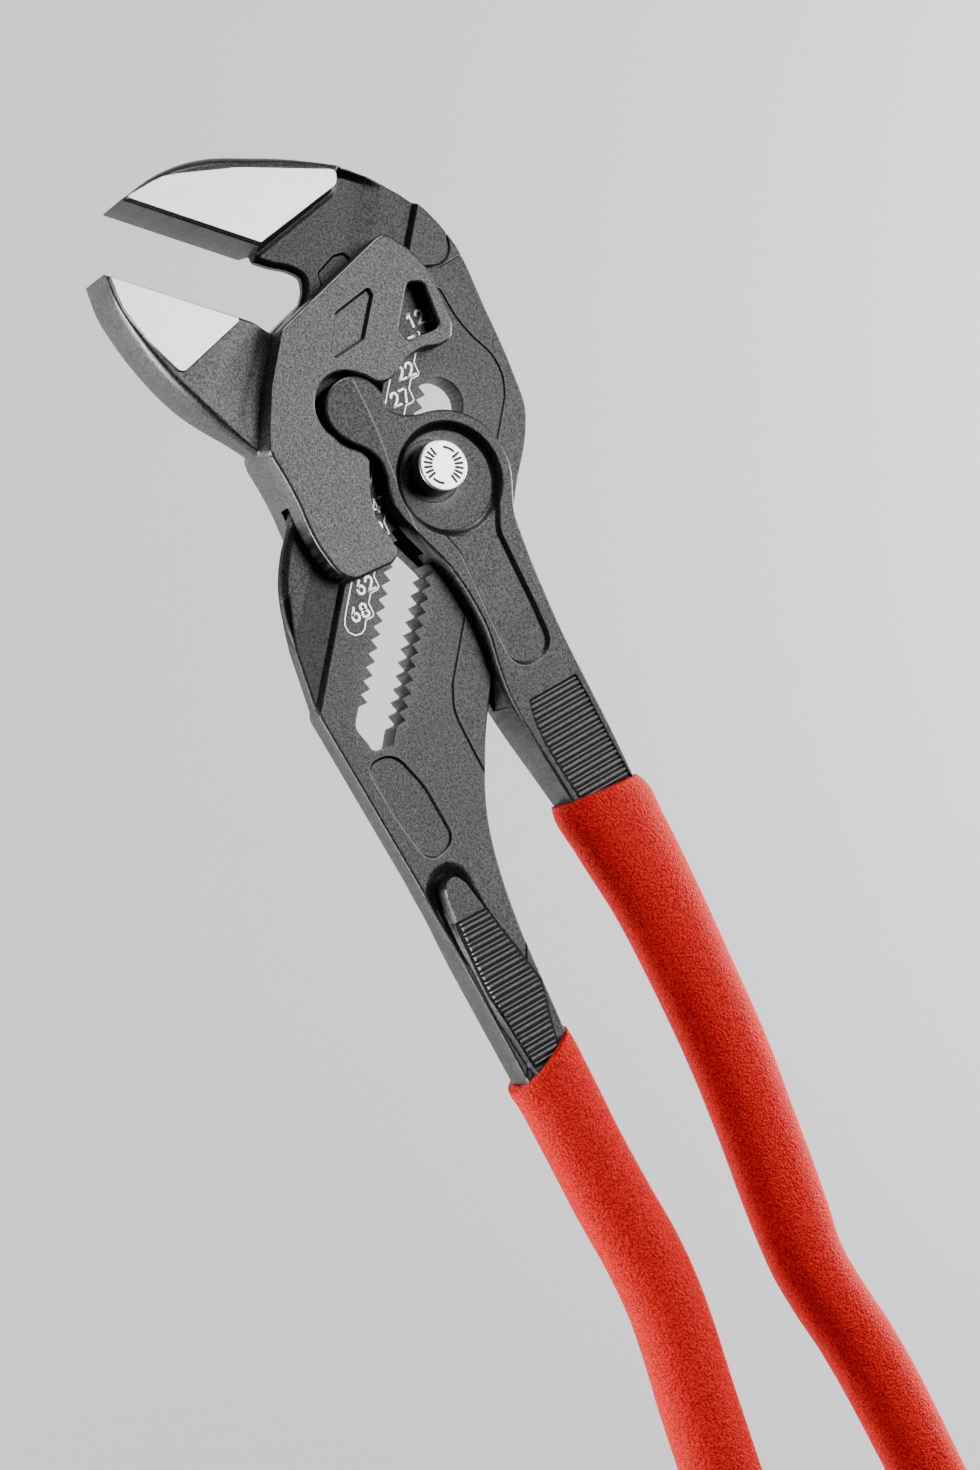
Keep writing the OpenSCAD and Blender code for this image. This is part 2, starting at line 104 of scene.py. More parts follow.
def makeCamera(values):
    data = bpy.data.cameras.new("camera")
    data.sensor_fit, data.sensor_width, data.lens = "AUTO", values["sensor"], values["lens"]
    data.shift_x, data.shift_y = values["shiftX"], values["shiftY"]
    data.clip_start, data.clip_end = 0.01, 20
    ahead = Vector(values["forward"]).normalized()
    right = ahead.cross(Vector(values["up"])).normalized()
    up = right.cross(ahead)
    turn = Matrix((right, up, -ahead)).transposed().to_4x4()
    added = addObject("camera", data)
    added.matrix_world = Matrix.Translation(values["place"]) @ turn
    scene.camera = added
    return added


camera = makeCamera(cameraSet)
bpy.context.view_layer.update()


def imageRay(x, y):
    data, longSide = camera.data, picture["longSide"]
    aim = Vector((x - picture["width"] / 2 + data.shift_x * longSide,
                  picture["height"] / 2 - y + data.shift_y * longSide,
                  -longSide * data.lens / data.sensor_width))
    return camera.matrix_world.translation, (camera.matrix_world.to_3x3() @ aim).normalized()


def placeOn(tree, x, y):
    start, aim = imageRay(x, y)
    place = tree.ray_cast(start, aim)[0]
    if place is None:                        # a miss takes the place nearest the ray
        place = min((tree.find_nearest(start + aim * reach) for reach in np.linspace(0.3, 0.9, 60)),
                    key=lambda found: found[3])[0]
    return place


def imagePlace(point):
    local = camera.matrix_world.inverted() @ Vector(point)
    data, longSide = camera.data, picture["longSide"]
    scale = longSide * data.lens / data.sensor_width / -local.z
    return (picture["width"] / 2 + local.x * scale - data.shift_x * longSide,
            picture["height"] / 2 - local.y * scale + data.shift_y * longSide)


def treeOf(piece):
    return BVHTree.FromPolygons([vertex.co for vertex in piece.data.vertices],
                                [list(face.vertices) for face in piece.data.polygons])


# Plane drawing: curves and rounded corners, the same forms as in the solids
def along(s, w):
    return [s * slotX - w * slotY, s * slotY + w * slotX]


def inSlot(points):
    return np.array([along(s, w) for s, w in points])


def slotSide(w, side):
    # all that lies on one side of a line along the slot
    return inSlot([(-200, w), (200, w), (200, 200 * side), (-200, 200 * side)])


def slotFrame(points):
    x, y = points[:, 0], points[:, 1]
    return x * slotX + y * slotY, -x * slotY + y * slotX


def curve(points, steps=4):
    p = np.array(points, float)
    gaps = np.linalg.norm(np.diff(p, axis=0), axis=1)
    aims = np.diff(p, axis=0) / gaps[:, None]
    slopes = [aims[0]] + [(aims[i] * gaps[i + 1] + aims[i + 1] * gaps[i]) / (gaps[i] + gaps[i + 1])
                          for i in range(len(gaps) - 1)] + [aims[-1]]
    out = []
    for i, gap in enumerate(gaps):
        for t in np.arange(steps) / steps:
            out.append((2*t**3 - 3*t**2 + 1) * p[i] + (t**3 - 2*t**2 + t) * gap * slopes[i]
                       + (3*t**2 - 2*t**3) * p[i + 1] + (t**3 - t**2) * gap * slopes[i + 1])
    return [list(q) for q in out] + [list(p[-1])]


def rounded(corners, perTurn=12):
    out = []
    for i, (x, y, radius) in enumerate(corners):
        here = np.array([x, y])
        before, after = np.array(corners[i - 1][:2]), np.array(corners[(i + 1) % len(corners)][:2])
        if radius == 0:
            out.append([x, y])
            continue
        a = (before - here) / np.linalg.norm(before - here)
        b = (after - here) / np.linalg.norm(after - here)
        half = math.acos(float(np.clip(a @ b, -1, 1))) / 2
        reach = min(radius / math.tan(half), np.linalg.norm(before - here) * 0.48,
                    np.linalg.norm(after - here) * 0.48)
        radius = reach * math.tan(half)
        centre = here + (a + b) / np.linalg.norm(a + b) * radius / math.sin(half)
        first, last = here + a * reach - centre, here + b * reach - centre
        start = math.atan2(first[1], first[0])
        sweep = (math.atan2(last[1], last[0]) - start + math.pi) % (2 * math.pi) - math.pi
        count = max(2, int(abs(math.degrees(sweep)) / perTurn))
        out += [list(centre + radius * np.array([math.cos(start + sweep * k / count),
                                                 math.sin(start + sweep * k / count)]))
                for k in range(count + 1)]
    return out


def arc(centre, radius, first, last, count):
    return [[centre[0] + radius * math.cos(math.radians(a)),
             centre[1] + radius * math.sin(math.radians(a))]
            for a in np.linspace(first, last, count)]


def circleLine(centre, radius, count=72):
    return arc(centre, radius, 0, 360 - 360 / count, count)


def inside(points, loop):
    x, y, hit = points[:, 0], points[:, 1], np.zeros(len(points), bool)
    for (ax, ay), (bx, by) in zip(loop, np.roll(loop, -1, axis=0)):
        if ay != by:
            hit ^= ((ay > y) != (by > y)) & (x < (bx - ax) * (y - ay) / (by - ay) + ax)
    return hit


def within(points, loops):
    # inside the outline and outside its holes
    good = inside(points, loops[0])
    for hole in loops[1:]:
        good &= ~inside(points, hole)
    return good


def lineDistance(points, line, closed=False, weights=None):
    # distance to a line, and the line's own weight at the nearest place
    line = np.array(line, float)
    ends = np.roll(line, -1, axis=0) if closed else line[1:]
    best, share = np.full(len(points), 1e9), np.ones(len(points))
    for i, end in enumerate(ends):
        start = line[i]
        run = end - start
        size = run @ run
        if size < 1e-12:
            continue
        t = np.clip(((points - start) @ run) / size, 0, 1)
        off = points - start - t[:, None] * run
        near = (off ** 2).sum(1)
        closer = near < best
        best = np.where(closer, near, best)
        if weights is not None:
            share = np.where(closer, weights[i] * (1 - t) + weights[(i + 1) % len(line)] * t, share)
    return np.sqrt(best), share


def signedDistance(points, loop):
    far = lineDistance(points, loop, True)[0]
    return np.where(inside(points, np.array(loop)), far, -far)


def smooth(t):
    t = np.clip(t, 0, 1)
    return t * t * (3 - 2 * t)


def resample(line, step, closed):
    line = np.array(line, float)
    keep = [i for i in range(len(line)) if np.linalg.norm(line[i] - line[i - 1]) > 1e-3]
    line = line[keep]
    ends = np.roll(line, -1, axis=0) if closed else line[1:]
    out = []
    for a, b in zip(line, ends):
        count = max(1, math.ceil(np.linalg.norm(b - a) / step))
        out += [a + (b - a) * k / count for k in range(count)]
    return np.array(out if closed else out + [line[-1]])


def area(loop):
    x, y = loop[:, 0], loop[:, 1]
    return 0.5 * float(np.sum(x * np.roll(y, -1) - np.roll(x, -1) * y))


def lineNormals(pts, closed):
    # unit steps along a line, its normals, and how far each normal leans from its own step's
    ahead = np.roll(pts, -1, 0) - pts
    if not closed:
        ahead[-1] = pts[-1] - pts[-2]
    ahead = ahead / np.linalg.norm(ahead, axis=1)[:, None]
    behind = np.roll(ahead, 1, 0) if closed else np.vstack([ahead[:1], ahead[:-1]])
    normal = np.stack([-(ahead + behind)[:, 1], (ahead + behind)[:, 0]], 1)
    normal /= np.maximum(np.linalg.norm(normal, axis=1), 1e-9)[:, None]
    return ahead, normal, (normal * np.stack([-ahead[:, 1], ahead[:, 0]], 1)).sum(1)


def offsetChains(line, closed, offset, step):
    pts = resample(line, step, closed)
    if closed and area(pts) < 0:
        pts = pts[::-1]
    ahead, normal, lean = lineNormals(pts, closed)
    moved = pts + normal * (offset / np.clip(lean, 0.6, 1))[:, None]
    good = lineDistance(moved, line, closed)[0] > abs(offset) - 0.02
    chains, chain = [], []
    order = list(range(len(moved))) + ([0] if closed else [])
    for k, i in enumerate(order):
        if good[i] and (not chain or np.linalg.norm(moved[i] - chain[-1]) < 2.6 * step):
            chain.append(moved[i])
        else:
            if len(chain) > 1:
                chains.append(chain)
            chain = [moved[i]] if good[i] else []
    if len(chain) > 1:
        chains.append(chain)
    return chains


class Relief:
    # Heights of one face of a forged plate, laid down in order over its outline
    def __init__(self, level, edge=0.35):
        self.level, self.edge, self.steps, self.guides = level, edge, [], []

    def guide(self, line, closed, width, shift, step):
        for share in (-0.5, -0.3, -0.1, 0.1, 0.3, 0.5):
            self.guides.append((line, closed, shift + width * share, step))
        for side in (-1, 1):
            for past in (0.1, 0.28):
                self.guides.append((line, closed, shift + side * (width / 2 + past), step))

    def area(self, loop, level=None, by=None, width=0.25, shift=0.0, shine=0.0, step=0.9):
        # inside the loop the face is at a level, or moved by an amount; a positive shine paints a highlight
        # along its rim, a negative one paints shade over it
        self.steps.append(("area", loop, level, by, width, shift, shine))
        self.guide(loop, True, width, shift, step)

    def fall(self, line, width, drop, weights=None, power=2.0, step=0.9):
        # the face rounds off towards a line
        self.steps.append(("fall", line, width, drop, weights, power))
        for share in (0.04, 0.12, 0.25, 0.42, 0.62, 0.82, 1.0, 1.12):
            self.guides.append((line, False, width * share, step))
            self.guides.append((line, False, -width * share, step))

    def shape(self, function):
        # any other change, given as a function of places and heights
        self.steps.append(("shape", function))

    def heights(self, points):
        z = self.level(points) if callable(self.level) else np.full(len(points), float(self.level))
        wearAndPaintedLight = np.zeros(len(points))
        for entry in self.steps:
            if entry[0] == "area":
                _, loop, level, by, width, shift, shine = entry
                far = signedDistance(points, loop) - shift
                share = smooth(far / width + 0.5)
                target = z + by if level is None else (level(points) if callable(level) else level)
                rises = np.where(target > z, 1, -1)
                if shine < 0:                # painted shade fills the place
                    wearAndPaintedLight = wearAndPaintedLight * (1 - share) + shine * share
                else:
                    # a painted highlight runs along the rim of the step
                    line = shine * np.exp(-((far - rises * width * 0.45) / 0.1) ** 2)
                    wearAndPaintedLight = wearAndPaintedLight * (1 - share * (level is not None))
                    wearAndPaintedLight = np.where(line > 0.02, np.maximum(wearAndPaintedLight, line), wearAndPaintedLight)
                z = z + (target - z) * share
            elif entry[0] == "fall":
                _, line, width, drop, weights, power = entry
                far, share = lineDistance(points, line, False, weights)
                z = z - drop * share * np.clip(1 - far / np.maximum(width * share, 1e-3), 0, 1) ** power
            else:
                z = entry[1](points, z)
        return z, wearAndPaintedLight


# Plates: how finely their faces are cut, and how bright their rims are painted, partly rubbed bare metal and
# partly a painted highlight
meshSteps = {"outline": 0.8, "hole": 0.6, "face": 1.6, "under": 3.0, "join": 0.03,
             "edge": (0.05, 0.2, 0.42, 0.7, 1.0, 1.35)}
edgeWearAndHighlight = {"rim": 0.3, "at": 0.5, "width": 0.11, "wall": 0.15}


def clipChain(chain, loops, inserts):
    # keeps what lies on the plate, and notes where it crosses the outline
    chain, tight = np.array(chain), meshSteps["join"]
    good = within(chain, loops)
    pieces, piece = [], []
    for i in range(len(chain)):
        if i and good[i] != good[i - 1]:
            a, b = chain[i - 1], chain[i]
            for number, loop in enumerate(loops):
                ends = np.roll(loop, -1, 0)
                r, s = b - a, ends - loop
                den = r[0] * s[:, 1] - r[1] * s[:, 0]
                den = np.where(abs(den) < 1e-12, 1e-12, den)
                t = ((loop[:, 0] - a[0]) * s[:, 1] - (loop[:, 1] - a[1]) * s[:, 0]) / den
                u = ((loop[:, 0] - a[0]) * r[1] - (loop[:, 1] - a[1]) * r[0]) / den
                hits = np.where((t >= 0) & (t <= 1) & (u >= 0) & (u <= 1))[0]
                if len(hits):
                    k = hits[0]
                    size, place = np.linalg.norm(s[k]), loop[k] + s[k] * u[k]
                    if u[k] * size < tight:
                        place = loop[k]
                    elif (1 - u[k]) * size < tight:
                        place = ends[k]
                    else:
                        inserts[number].append((k, u[k], place))
                    if good[i - 1]:
                        if np.linalg.norm(piece[-1] - place) < tight:
                            piece.pop()
                        piece.append(place)
                        if len(piece) > 1:
                            pieces.append(piece)
                        piece = []
                    else:
                        piece = [place]
                    break
            else:
                piece = []
        if good[i] and not (piece and np.linalg.norm(piece[-1] - chain[i]) < tight):
            piece.append(chain[i])
        if not good[i]:
            piece = []
    if len(piece) > 1:
        pieces.append(piece)
    return pieces


def withInserts(loop, found):
    out = []
    byEdge = {}
    for k, u, place in found:
        byEdge.setdefault(k, []).append((u, place))
    for k, point in enumerate(loop):
        out.append(point)
        last = point
        for u, place in sorted(byEdge.get(k, []), key=lambda entry: entry[0]):
            if np.linalg.norm(place - last) > 0.012:
                out.append(place)
                last = place
    return np.array(out)


def hexGrid(loops, spacing, taken):
    low, high = loops[0].min(0), loops[0].max(0)
    rows = np.arange(low[1], high[1], spacing * 0.866)
    points = np.array([[x + (k % 2) * spacing / 2, y] for k, y in enumerate(rows)
                       for x in np.arange(low[0], high[0], spacing)])
    points = points[within(points, loops)]
    cell = spacing * 0.5
    used = {(int(math.floor(x / cell)) + i, int(math.floor(y / cell)) + j)
            for x, y in taken for i in (-1, 0, 1) for j in (-1, 0, 1)}
    return [p for p in points if (math.floor(p[0] / cell), math.floor(p[1] / cell)) not in used]


def triangulate(loops, chains, spacing):
    points, edges = [], []
    for loop in loops:
        base = len(points)
        points += list(loop)
        edges += [(base + i, base + (i + 1) % len(loop)) for i in range(len(loop))]
    for chain in chains:
        base = len(points)
        points += list(chain)
        edges += [(base + i, base + i + 1) for i in range(len(chain) - 1)]
    points += hexGrid(loops, spacing, points)
    found = delaunay_2d_cdt([Vector(p) for p in points], edges, [], 0, 1e-4, False)
    flat = np.array([list(v) for v in found[0]])
    faces = np.array([list(f) for f in found[2]])
    return flat, faces[within(flat[faces].mean(1), loops)]


def planHalf(outline, holes, top, under, holeEdges, extra=()):
    # the triangles of one half of a forged part; extra reliefs only add their crossings
    loops = ([resample(outline, meshSteps["outline"], True)]
             + [resample(hole, meshSteps["hole"], True) for hole in holes])
    inserts = [[] for _ in loops]
    chains = {"top": [], "under": [], "extra": []}
    for name, relief in (("top", top), ("under", under)) + tuple(("extra", e) for e in extra):
        for line, closed, offset, step in relief.guides:
            for chain in offsetChains(line, closed, offset, step):
                chains[name] += clipChain(chain, loops, inserts)
    loops = [withInserts(loop, found) for loop, found in zip(loops, inserts)]
    rounds = [top.edge] + list(holeEdges)
    for loop, radius in zip(loops, rounds):
        sign = 1 if loop is loops[0] else -1
        for share in meshSteps["edge"]:
            for chain in offsetChains(loop, True, sign * radius * share, meshSteps["outline"]):
                chains["top"] += clipChain(chain, loops, [[] for _ in loops])
    return {"loops": loops, "rounds": rounds, "top": triangulate(loops, chains["top"], meshSteps["face"]),
            "under": triangulate(loops, chains["under"], meshSteps["under"])}


def raiseHalf(plan, top, under, wallShine=None):
    # the same triangles at the heights of a face, from the middle plane up, with the walls between
    loops, rounds = plan["loops"], plan["rounds"]
    flat, faces = plan["top"]

    def rim(points, z):
        for loop, radius in zip(loops, rounds):
            near = np.minimum(lineDistance(points, loop, True)[0], radius)
            z = z - (radius - np.sqrt(np.maximum(radius ** 2 - (radius - near) ** 2, 0)))
        return z

    z, wearAndPaintedLight = top.heights(flat)
    # a rim line along each rounded edge: partly rubbed bare metal, partly a painted highlight
    for loop, radius in zip(loops, rounds):
        far = lineDistance(flat, loop, True)[0] - radius * edgeWearAndHighlight["at"]
        line = edgeWearAndHighlight["rim"] * np.exp(-(far / edgeWearAndHighlight["width"]) ** 2)
        wearAndPaintedLight = np.where(line > 0.02, np.maximum(wearAndPaintedLight, line), wearAndPaintedLight)
    verts = [np.column_stack([flat, rim(flat, z)])]
    wearAndPaintedLightParts, tris = [wearAndPaintedLight], [faces]
    base = len(flat)
    lower, lowerFaces = plan["under"]
    lowZ, _ = under.heights(lower)
    verts.append(np.column_stack([lower, lowZ]))
    wearAndPaintedLightParts.append(np.zeros(len(lower)))
    tris.append(lowerFaces + base)
    base += len(lower)
    for loop in loops:
        upZ = rim(loop, top.heights(loop)[0])
        downZ = under.heights(loop)[0]
        count = len(loop)
        verts += [np.column_stack([loop, upZ]), np.column_stack([loop, downZ])]
        wall = wallShine(loop) if wallShine else np.zeros(count)
        # the wall's top row takes the rim's painted highlight, or the wall's own painted shade
        wearAndPaintedLightParts += [np.where(wall < 0, wall, edgeWearAndHighlight["wall"]), wall]
        i = np.arange(count)
        j = (i + 1) % count
        tris += [np.stack([base + i, base + j, base + count + j], 1),
                 np.stack([base + i, base + count + j, base + count + i], 1)]
        base += 2 * count
    return np.vstack(verts), np.vstack(tris), np.concatenate(wearAndPaintedLightParts)


def makeHalf(outline, holes, top, under, holeEdges, wallShine=None, extra=()):
    return raiseHalf(planHalf(outline, holes, top, under, holeEdges, extra=extra), top, under, wallShine)


def mirrored(half):
    verts = half[0].copy()
    verts[:, 2] = 2 * midZ - verts[:, 2]
    return verts, half[1], half[2]


def forgedPiece(name, halves, materials, finish=None):
    mesh = bpy.data.meshes.new(name)
    verts = np.vstack([half[0] for half in halves])
    wearAndPaintedLight = np.concatenate([half[2] for half in halves])
    base, faces = 0, []
    for half in halves:
        faces.append(half[1] + base)
        base += len(half[0])
    mesh.from_pydata((verts * mm).tolist(), [], np.vstack(faces).tolist())
    mesh.attributes.new("wearAndPaintedLight", "FLOAT", "POINT").data.foreach_set("value", wearAndPaintedLight.astype(np.float32))
    work = bmesh.new()
    work.from_mesh(mesh)
    bmesh.ops.remove_doubles(work, verts=work.verts, dist=2e-6)
    inner = [f for f in work.faces if all(abs(v.co.z - midZ * mm) < 1e-7 for v in f.verts)]
    bmesh.ops.delete(work, geom=inner, context="FACES")
    bmesh.ops.dissolve_degenerate(work, edges=work.edges, dist=1e-7)
    bmesh.ops.recalc_face_normals(work, faces=work.faces)
    work.to_mesh(mesh)
    work.free()
    mesh.shade_smooth()
    for material in materials:
        mesh.materials.append(material)
    if finish:
        centres = np.zeros(len(mesh.polygons) * 3)
        mesh.polygons.foreach_get("center", centres)
        mesh.polygons.foreach_set("material_index", finish(centres.reshape(-1, 3) / mm))
    mesh.set_sharp_from_angle(angle=math.radians(38))
    print(name, len(mesh.polygons), "faces")
    return addObject(name, mesh)


# Node trees written as expressions of their sockets
class Socket:
    def __init__(self, tree, link):
        self.tree, self.link = tree, link

    def __add__(self, other): return maths("ADD", self, other)
    def __radd__(self, other): return maths("ADD", other, self)
    def __sub__(self, other): return maths("SUBTRACT", self, other)
    def __rsub__(self, other): return maths("SUBTRACT", other, self)
    def __mul__(self, other): return maths("MULTIPLY", self, other)
    def __truediv__(self, other): return maths("DIVIDE", self, other)
    def __pow__(self, other): return maths("POWER", self, other)


def join(tree, target, value):
    if isinstance(value, Socket):
        tree.links.new(value.link, target)
    else:
        target.default_value = value


def maths(operation, *values):
    tree = next(value.tree for value in values if isinstance(value, Socket))
    node = tree.nodes.new("ShaderNodeMath")
    node.operation = operation
    for place, value in enumerate(values):
        join(tree, node.inputs[place], value)
    return Socket(tree, node.outputs[0])


def positive(value):
    return maths("MAXIMUM", value, 0.0)


class Nodes:
    # one method makes any node: its type, its settings, then the values or links of its sockets
    def __init__(self, tree):
        self.tree = tree

    def add(self, kind, settings=None, inputs=None, output=0):
        node = self.tree.nodes.new(kind)
        for name, value in (settings or {}).items():
            setattr(node, name, value)
        for name, value in (inputs or {}).items():
            join(self.tree, node.inputs[name], value)
        return Socket(self.tree, node.outputs[output])

    def coordinates(self):
        return self.add("ShaderNodeTexCoord", output="Object")

    def noise(self, place, scale, detail=2.0, rough=0.5):
        return self.add("ShaderNodeTexNoise", inputs={"Vector": place, "Scale": scale,
                                                      "Detail": detail, "Roughness": rough})

    def mixColour(self, share, first, second):
        return self.add("ShaderNodeMix", {"data_type": "RGBA"}, {0: share, 6: first, 7: second}, output=2)

    def bump(self, strength, distance, height):
        return self.add("ShaderNodeBump", inputs={"Strength": strength, "Distance": distance, "Height": height})


def grey(level, warm=0.0):
    return (level * (1 + warm), level, level * (1 - warm), 1.0)


def newMaterial(name, constants):
    material = bpy.data.materials.new(name)
    material.use_nodes = True
    tree = material.node_tree
    surface = tree.nodes["Principled BSDF"]
    for socket, value in constants.items():
        surface.inputs[socket].default_value = value
    return material, Nodes(tree), surface


def wire(nodes, surface, colour, rough, normal=None):
    values = {"Base Color": colour, "Roughness": rough, "Normal": normal}
    for socket, value in values.items():
        if value is not None:
            join(nodes.tree, surface.inputs[socket], value)


# Forged black steel: greys, the scales of its noises, and a tone for each of its two parts; its rim grey is
# partly rubbed bare metal, partly a painted highlight, and its near black is painted shade
forged = {"dark": 0.040, "light": 0.135, "spark": 0.30, "edge": 0.36, "shadeBlack": 0.006, "grain": 2300.0,
          "cloud": 45.0, "sparks": 4200.0, "rub": 900.0, "bump": 0.00003, "rough": 0.40, "metal": 0.88,
          "lever": 0.60, "jaw": 0.94}


def makeForgedSteel(name, tone):
    material, nodes, surface = newMaterial(name, {"Metallic": forged["metal"]})
    place = nodes.coordinates()
    grain = nodes.noise(place, forged["grain"], 3.0, 0.6)
    cloud = nodes.noise(place, forged["cloud"], 3.0, 0.55)
    spark = nodes.add("ShaderNodeMapRange", {}, {"Value": nodes.noise(place, forged["sparks"], 1.0),
                                                 "From Min": 0.58, "From Max": 0.74})
    rub = nodes.noise(place, forged["rub"], 2.0)
    # the attribute holds rubbed edges with their painted highlights above zero, and painted shade below zero
    wearAndPaintedLight = nodes.add("ShaderNodeAttribute", {"attribute_name": "wearAndPaintedLight"}, output="Fac")
    rubbedAndHighlit, paintedShade = positive(wearAndPaintedLight), positive(0 - wearAndPaintedLight)
    base = nodes.mixColour(cloud * 0.2 + (grain - 0.5) * 3.6 + 0.40, grey(forged["dark"] * tone, -0.02),
                           grey(forged["light"] * tone, -0.02))
    bright = nodes.mixColour(spark * 0.7, base, grey(forged["spark"] * tone))
    wornAndHighlit = nodes.mixColour(rubbedAndHighlit * (0.3 + rub * 0.6), bright, grey(forged["edge"]))
    wire(nodes, surface, nodes.mixColour(paintedShade, wornAndHighlit, grey(forged["shadeBlack"])),
         forged["rough"] + (grain - 0.5) * 0.12 - rubbedAndHighlit * 0.12, nodes.bump(0.9, forged["bump"], grain))
    return material


# Ground pads: fine brush lines turned across the jaws
polished = {"dark": 0.70, "light": 1.0, "lines": (280.0, 2000.0, 280.0), "turn": -102, "rough": 0.32,
            "bump": 0.000006}


def makePolishedSteel():
    material, nodes, surface = newMaterial("polishedSteel", {"Metallic": 0.9})
    # a mapping scales before it turns, so the turn has a mapping of its own
    across = nodes.add("ShaderNodeMapping", {}, {"Vector": nodes.coordinates(),
                                                 "Rotation": (0, 0, math.radians(polished["turn"]))})
    brushed = nodes.add("ShaderNodeMapping", {}, {"Vector": across, "Scale": polished["lines"]})
    lines = nodes.noise(brushed, 1.0, 3.0, 0.6)
    colour = nodes.mixColour((lines - 0.5) * 2.8 + 0.5, grey(polished["dark"], 0.01),
                             grey(polished["light"], 0.01))
    wire(nodes, surface, colour, polished["rough"] + (lines - 0.5) * 0.2,
         nodes.bump(0.35, polished["bump"], lines))
    return material


# Plain finishes: fine noise between two greys, and how rough and how metallic they are
plainLooks = {
    "boltSteel": {"greys": (0.09, 0.16), "rough": 0.375, "swing": 0.15, "scale": 2500.0, "metal": 0.9},
    "springSteel": {"greys": (0.42, 0.58), "rough": 0.295, "swing": 0.15, "scale": 3000.0, "metal": 1.0},
    "buttonWhite": {"greys": (0.94, 1.0), "rough": 0.22, "swing": 0.1, "scale": 1500.0, "metal": 0.82},
    "buttonFlank": {"greys": (0.012, 0.03), "rough": 0.22, "swing": 0.1, "scale": 1500.0, "metal": 0.6},
    "markWhite": {"greys": (0.88, 0.95), "rough": 0.28, "swing": 0.1, "scale": 1500.0, "metal": 0.5},
    "markDark": {"greys": (0.02, 0.04), "rough": 0.5, "swing": 0.1, "scale": 1500.0, "metal": 0.0},
    "floorPale": {"greys": (0.74, 0.76), "rough": 0.85, "swing": 0.1, "scale": 20.0, "metal": 0.0},
}


def makePlain(name, look):
    material, nodes, surface = newMaterial(name, {"Metallic": look["metal"]})
    fine = nodes.noise(nodes.coordinates(), look["scale"], 2.0)
    first, second = look["greys"]
    wire(nodes, surface, nodes.mixColour(fine, grey(first), grey(second)),
         look["rough"] + (fine - 0.5) * look["swing"])
    return material


# Grips: a red skin with pores
gripLook = {"deep": (0.56, 0.002, 0.003, 1), "bright": (1.0, 0.020, 0.016, 1), "grain": 1900.0,
            "bump": 0.00042, "rough": 0.62, "shine": 0.1}


def makeGripPlastic():
    material, nodes, surface = newMaterial("gripPlastic", {"Specular IOR Level": gripLook["shine"]})
    place = nodes.coordinates()
    pores = nodes.add("ShaderNodeTexVoronoi", {"feature": "F1"},
                      {"Vector": place, "Scale": gripLook["grain"]})
    fine = nodes.noise(place, gripLook["grain"] * 1.4, 2.0)
    cloud = nodes.noise(place, 60.0, 2.0)
    colour = nodes.mixColour(cloud * 0.3 + (fine - 0.5) * 4.6 + 0.42, gripLook["deep"], gripLook["bright"])
    wire(nodes, surface, colour, gripLook["rough"] + (fine - 0.5) * 0.15,
         nodes.bump(0.8, gripLook["bump"], pores * 0.6 + fine * 0.6))
    return material


# the levers' copy is darker than the sliding jaw's: painted shade
forgedSteel = makeForgedSteel("forgedSteel", forged["lever"])
jawForged = makeForgedSteel("jawForged", forged["jaw"])
polishedSteel = makePolishedSteel()
gripPlastic = makeGripPlastic()
plain = {name: makePlain(name, look) for name, look in plainLooks.items()}
print("materials made")

# Fixed lever: upper jaw, toothed web and the handle under the left grip
fixedLever = {"band": 9.3, "field": 9.1, "blade": 8.1, "topPad": 9.5, "jaw": 11.4, "pad": 11.9,
              "handle": 10.2, "ribPad": 11.3, "ribFloor": 10.6, "ovalDrop": 0.4, "neckDrop": 0.4,
              "shoulder": -11.4, "faceS": -30.9, "tipW": -67.4}

jawBack = curve([along(fixedLever["faceS"], fixedLever["tipW"]), [-68.0, -25], [-68.1, -16.5],
                 [-65.2, -6.5], [-60.8, 3.8], [-54.8, 13.7], [-46.8, 21.2], [-36.7, 25.2], [-24, 25.6],
                 [-10, 25.5], [-3.6, 24.8], [1.5, 22.2], [8, 17]])
leverRight = curve([[42.1, -7], [48.1, -10.9], [54.3, -14.2], [62, -17.4], [72, -19.7], [84, -21.05],
                    [97, -21.3], [112, -21.6]])
bladeLeft = [[32.2, -39.6]] + curve([[18.8, -38.1], [14.2, -37.4], [8, -35.5], [2.6, -32.3],
                                     along(17, -23.6)]) + [along(0, -23.6), along(-13, -33), along(-17.5, -33)]
throat = curve([[-37.4, -8.4], [-39.6, -6.7], [-41.7, -6.2], [-43.3, -7.4], [-45.6, -11.0], [-47.6, -13.6]])
leverOutline = jawBack + leverRight + [[112, -32.2], [66, -35.8]] + bladeLeft + throat + [along(-30.9, -40.2)]


# The toothed slot, in the slot frame: half its clear width, the depth of its teeth, and its ends
toothed = {"pitch": 2.57, "half": 3.1, "deep": 4.7, "mid": 0.15, "first": -15.6, "count": 24,
           "head": -13.9, "foot": 46.6}


def slotLine():
    pitch, half, deep, mid = (toothed[name] for name in ("pitch", "half", "deep", "mid"))
    first, count, head, end = (toothed[name] for name in ("first", "count", "head", "foot"))
    right, left = [], []
    for i in range(count):
        tip = first + (i + 1) * pitch
        if i:
            right.append((tip - 0.45 * pitch, mid + half, 0.16))
        right.append((tip, mid + deep, 0.14))
    right.append((tip + 0.55 * pitch, mid + half, 0.16))
    for i in range(count):
        tip = first + i * pitch
        left += [(tip, mid - deep, 0.14), (tip + 0.44 * pitch, mid - half, 0.16)]
    foot = [(end + 4.4, mid + half, 0.4), (end + 6.2, mid + 0.6, 0.4), (end + 6.2, mid - 0.8, 0.4),
            (end + 5.4, mid - 1.5, 0.4), (end + 3.2, mid - deep, 2.4), (end - 0.8, mid - deep, 0.6)]
    top = [(head + deep * math.cos(math.radians(a)), mid + deep * math.sin(math.radians(a)), 0)
           for a in np.linspace(-147, -265, 15)]
    return inSlot(rounded(right + foot + left[::-1] + top))


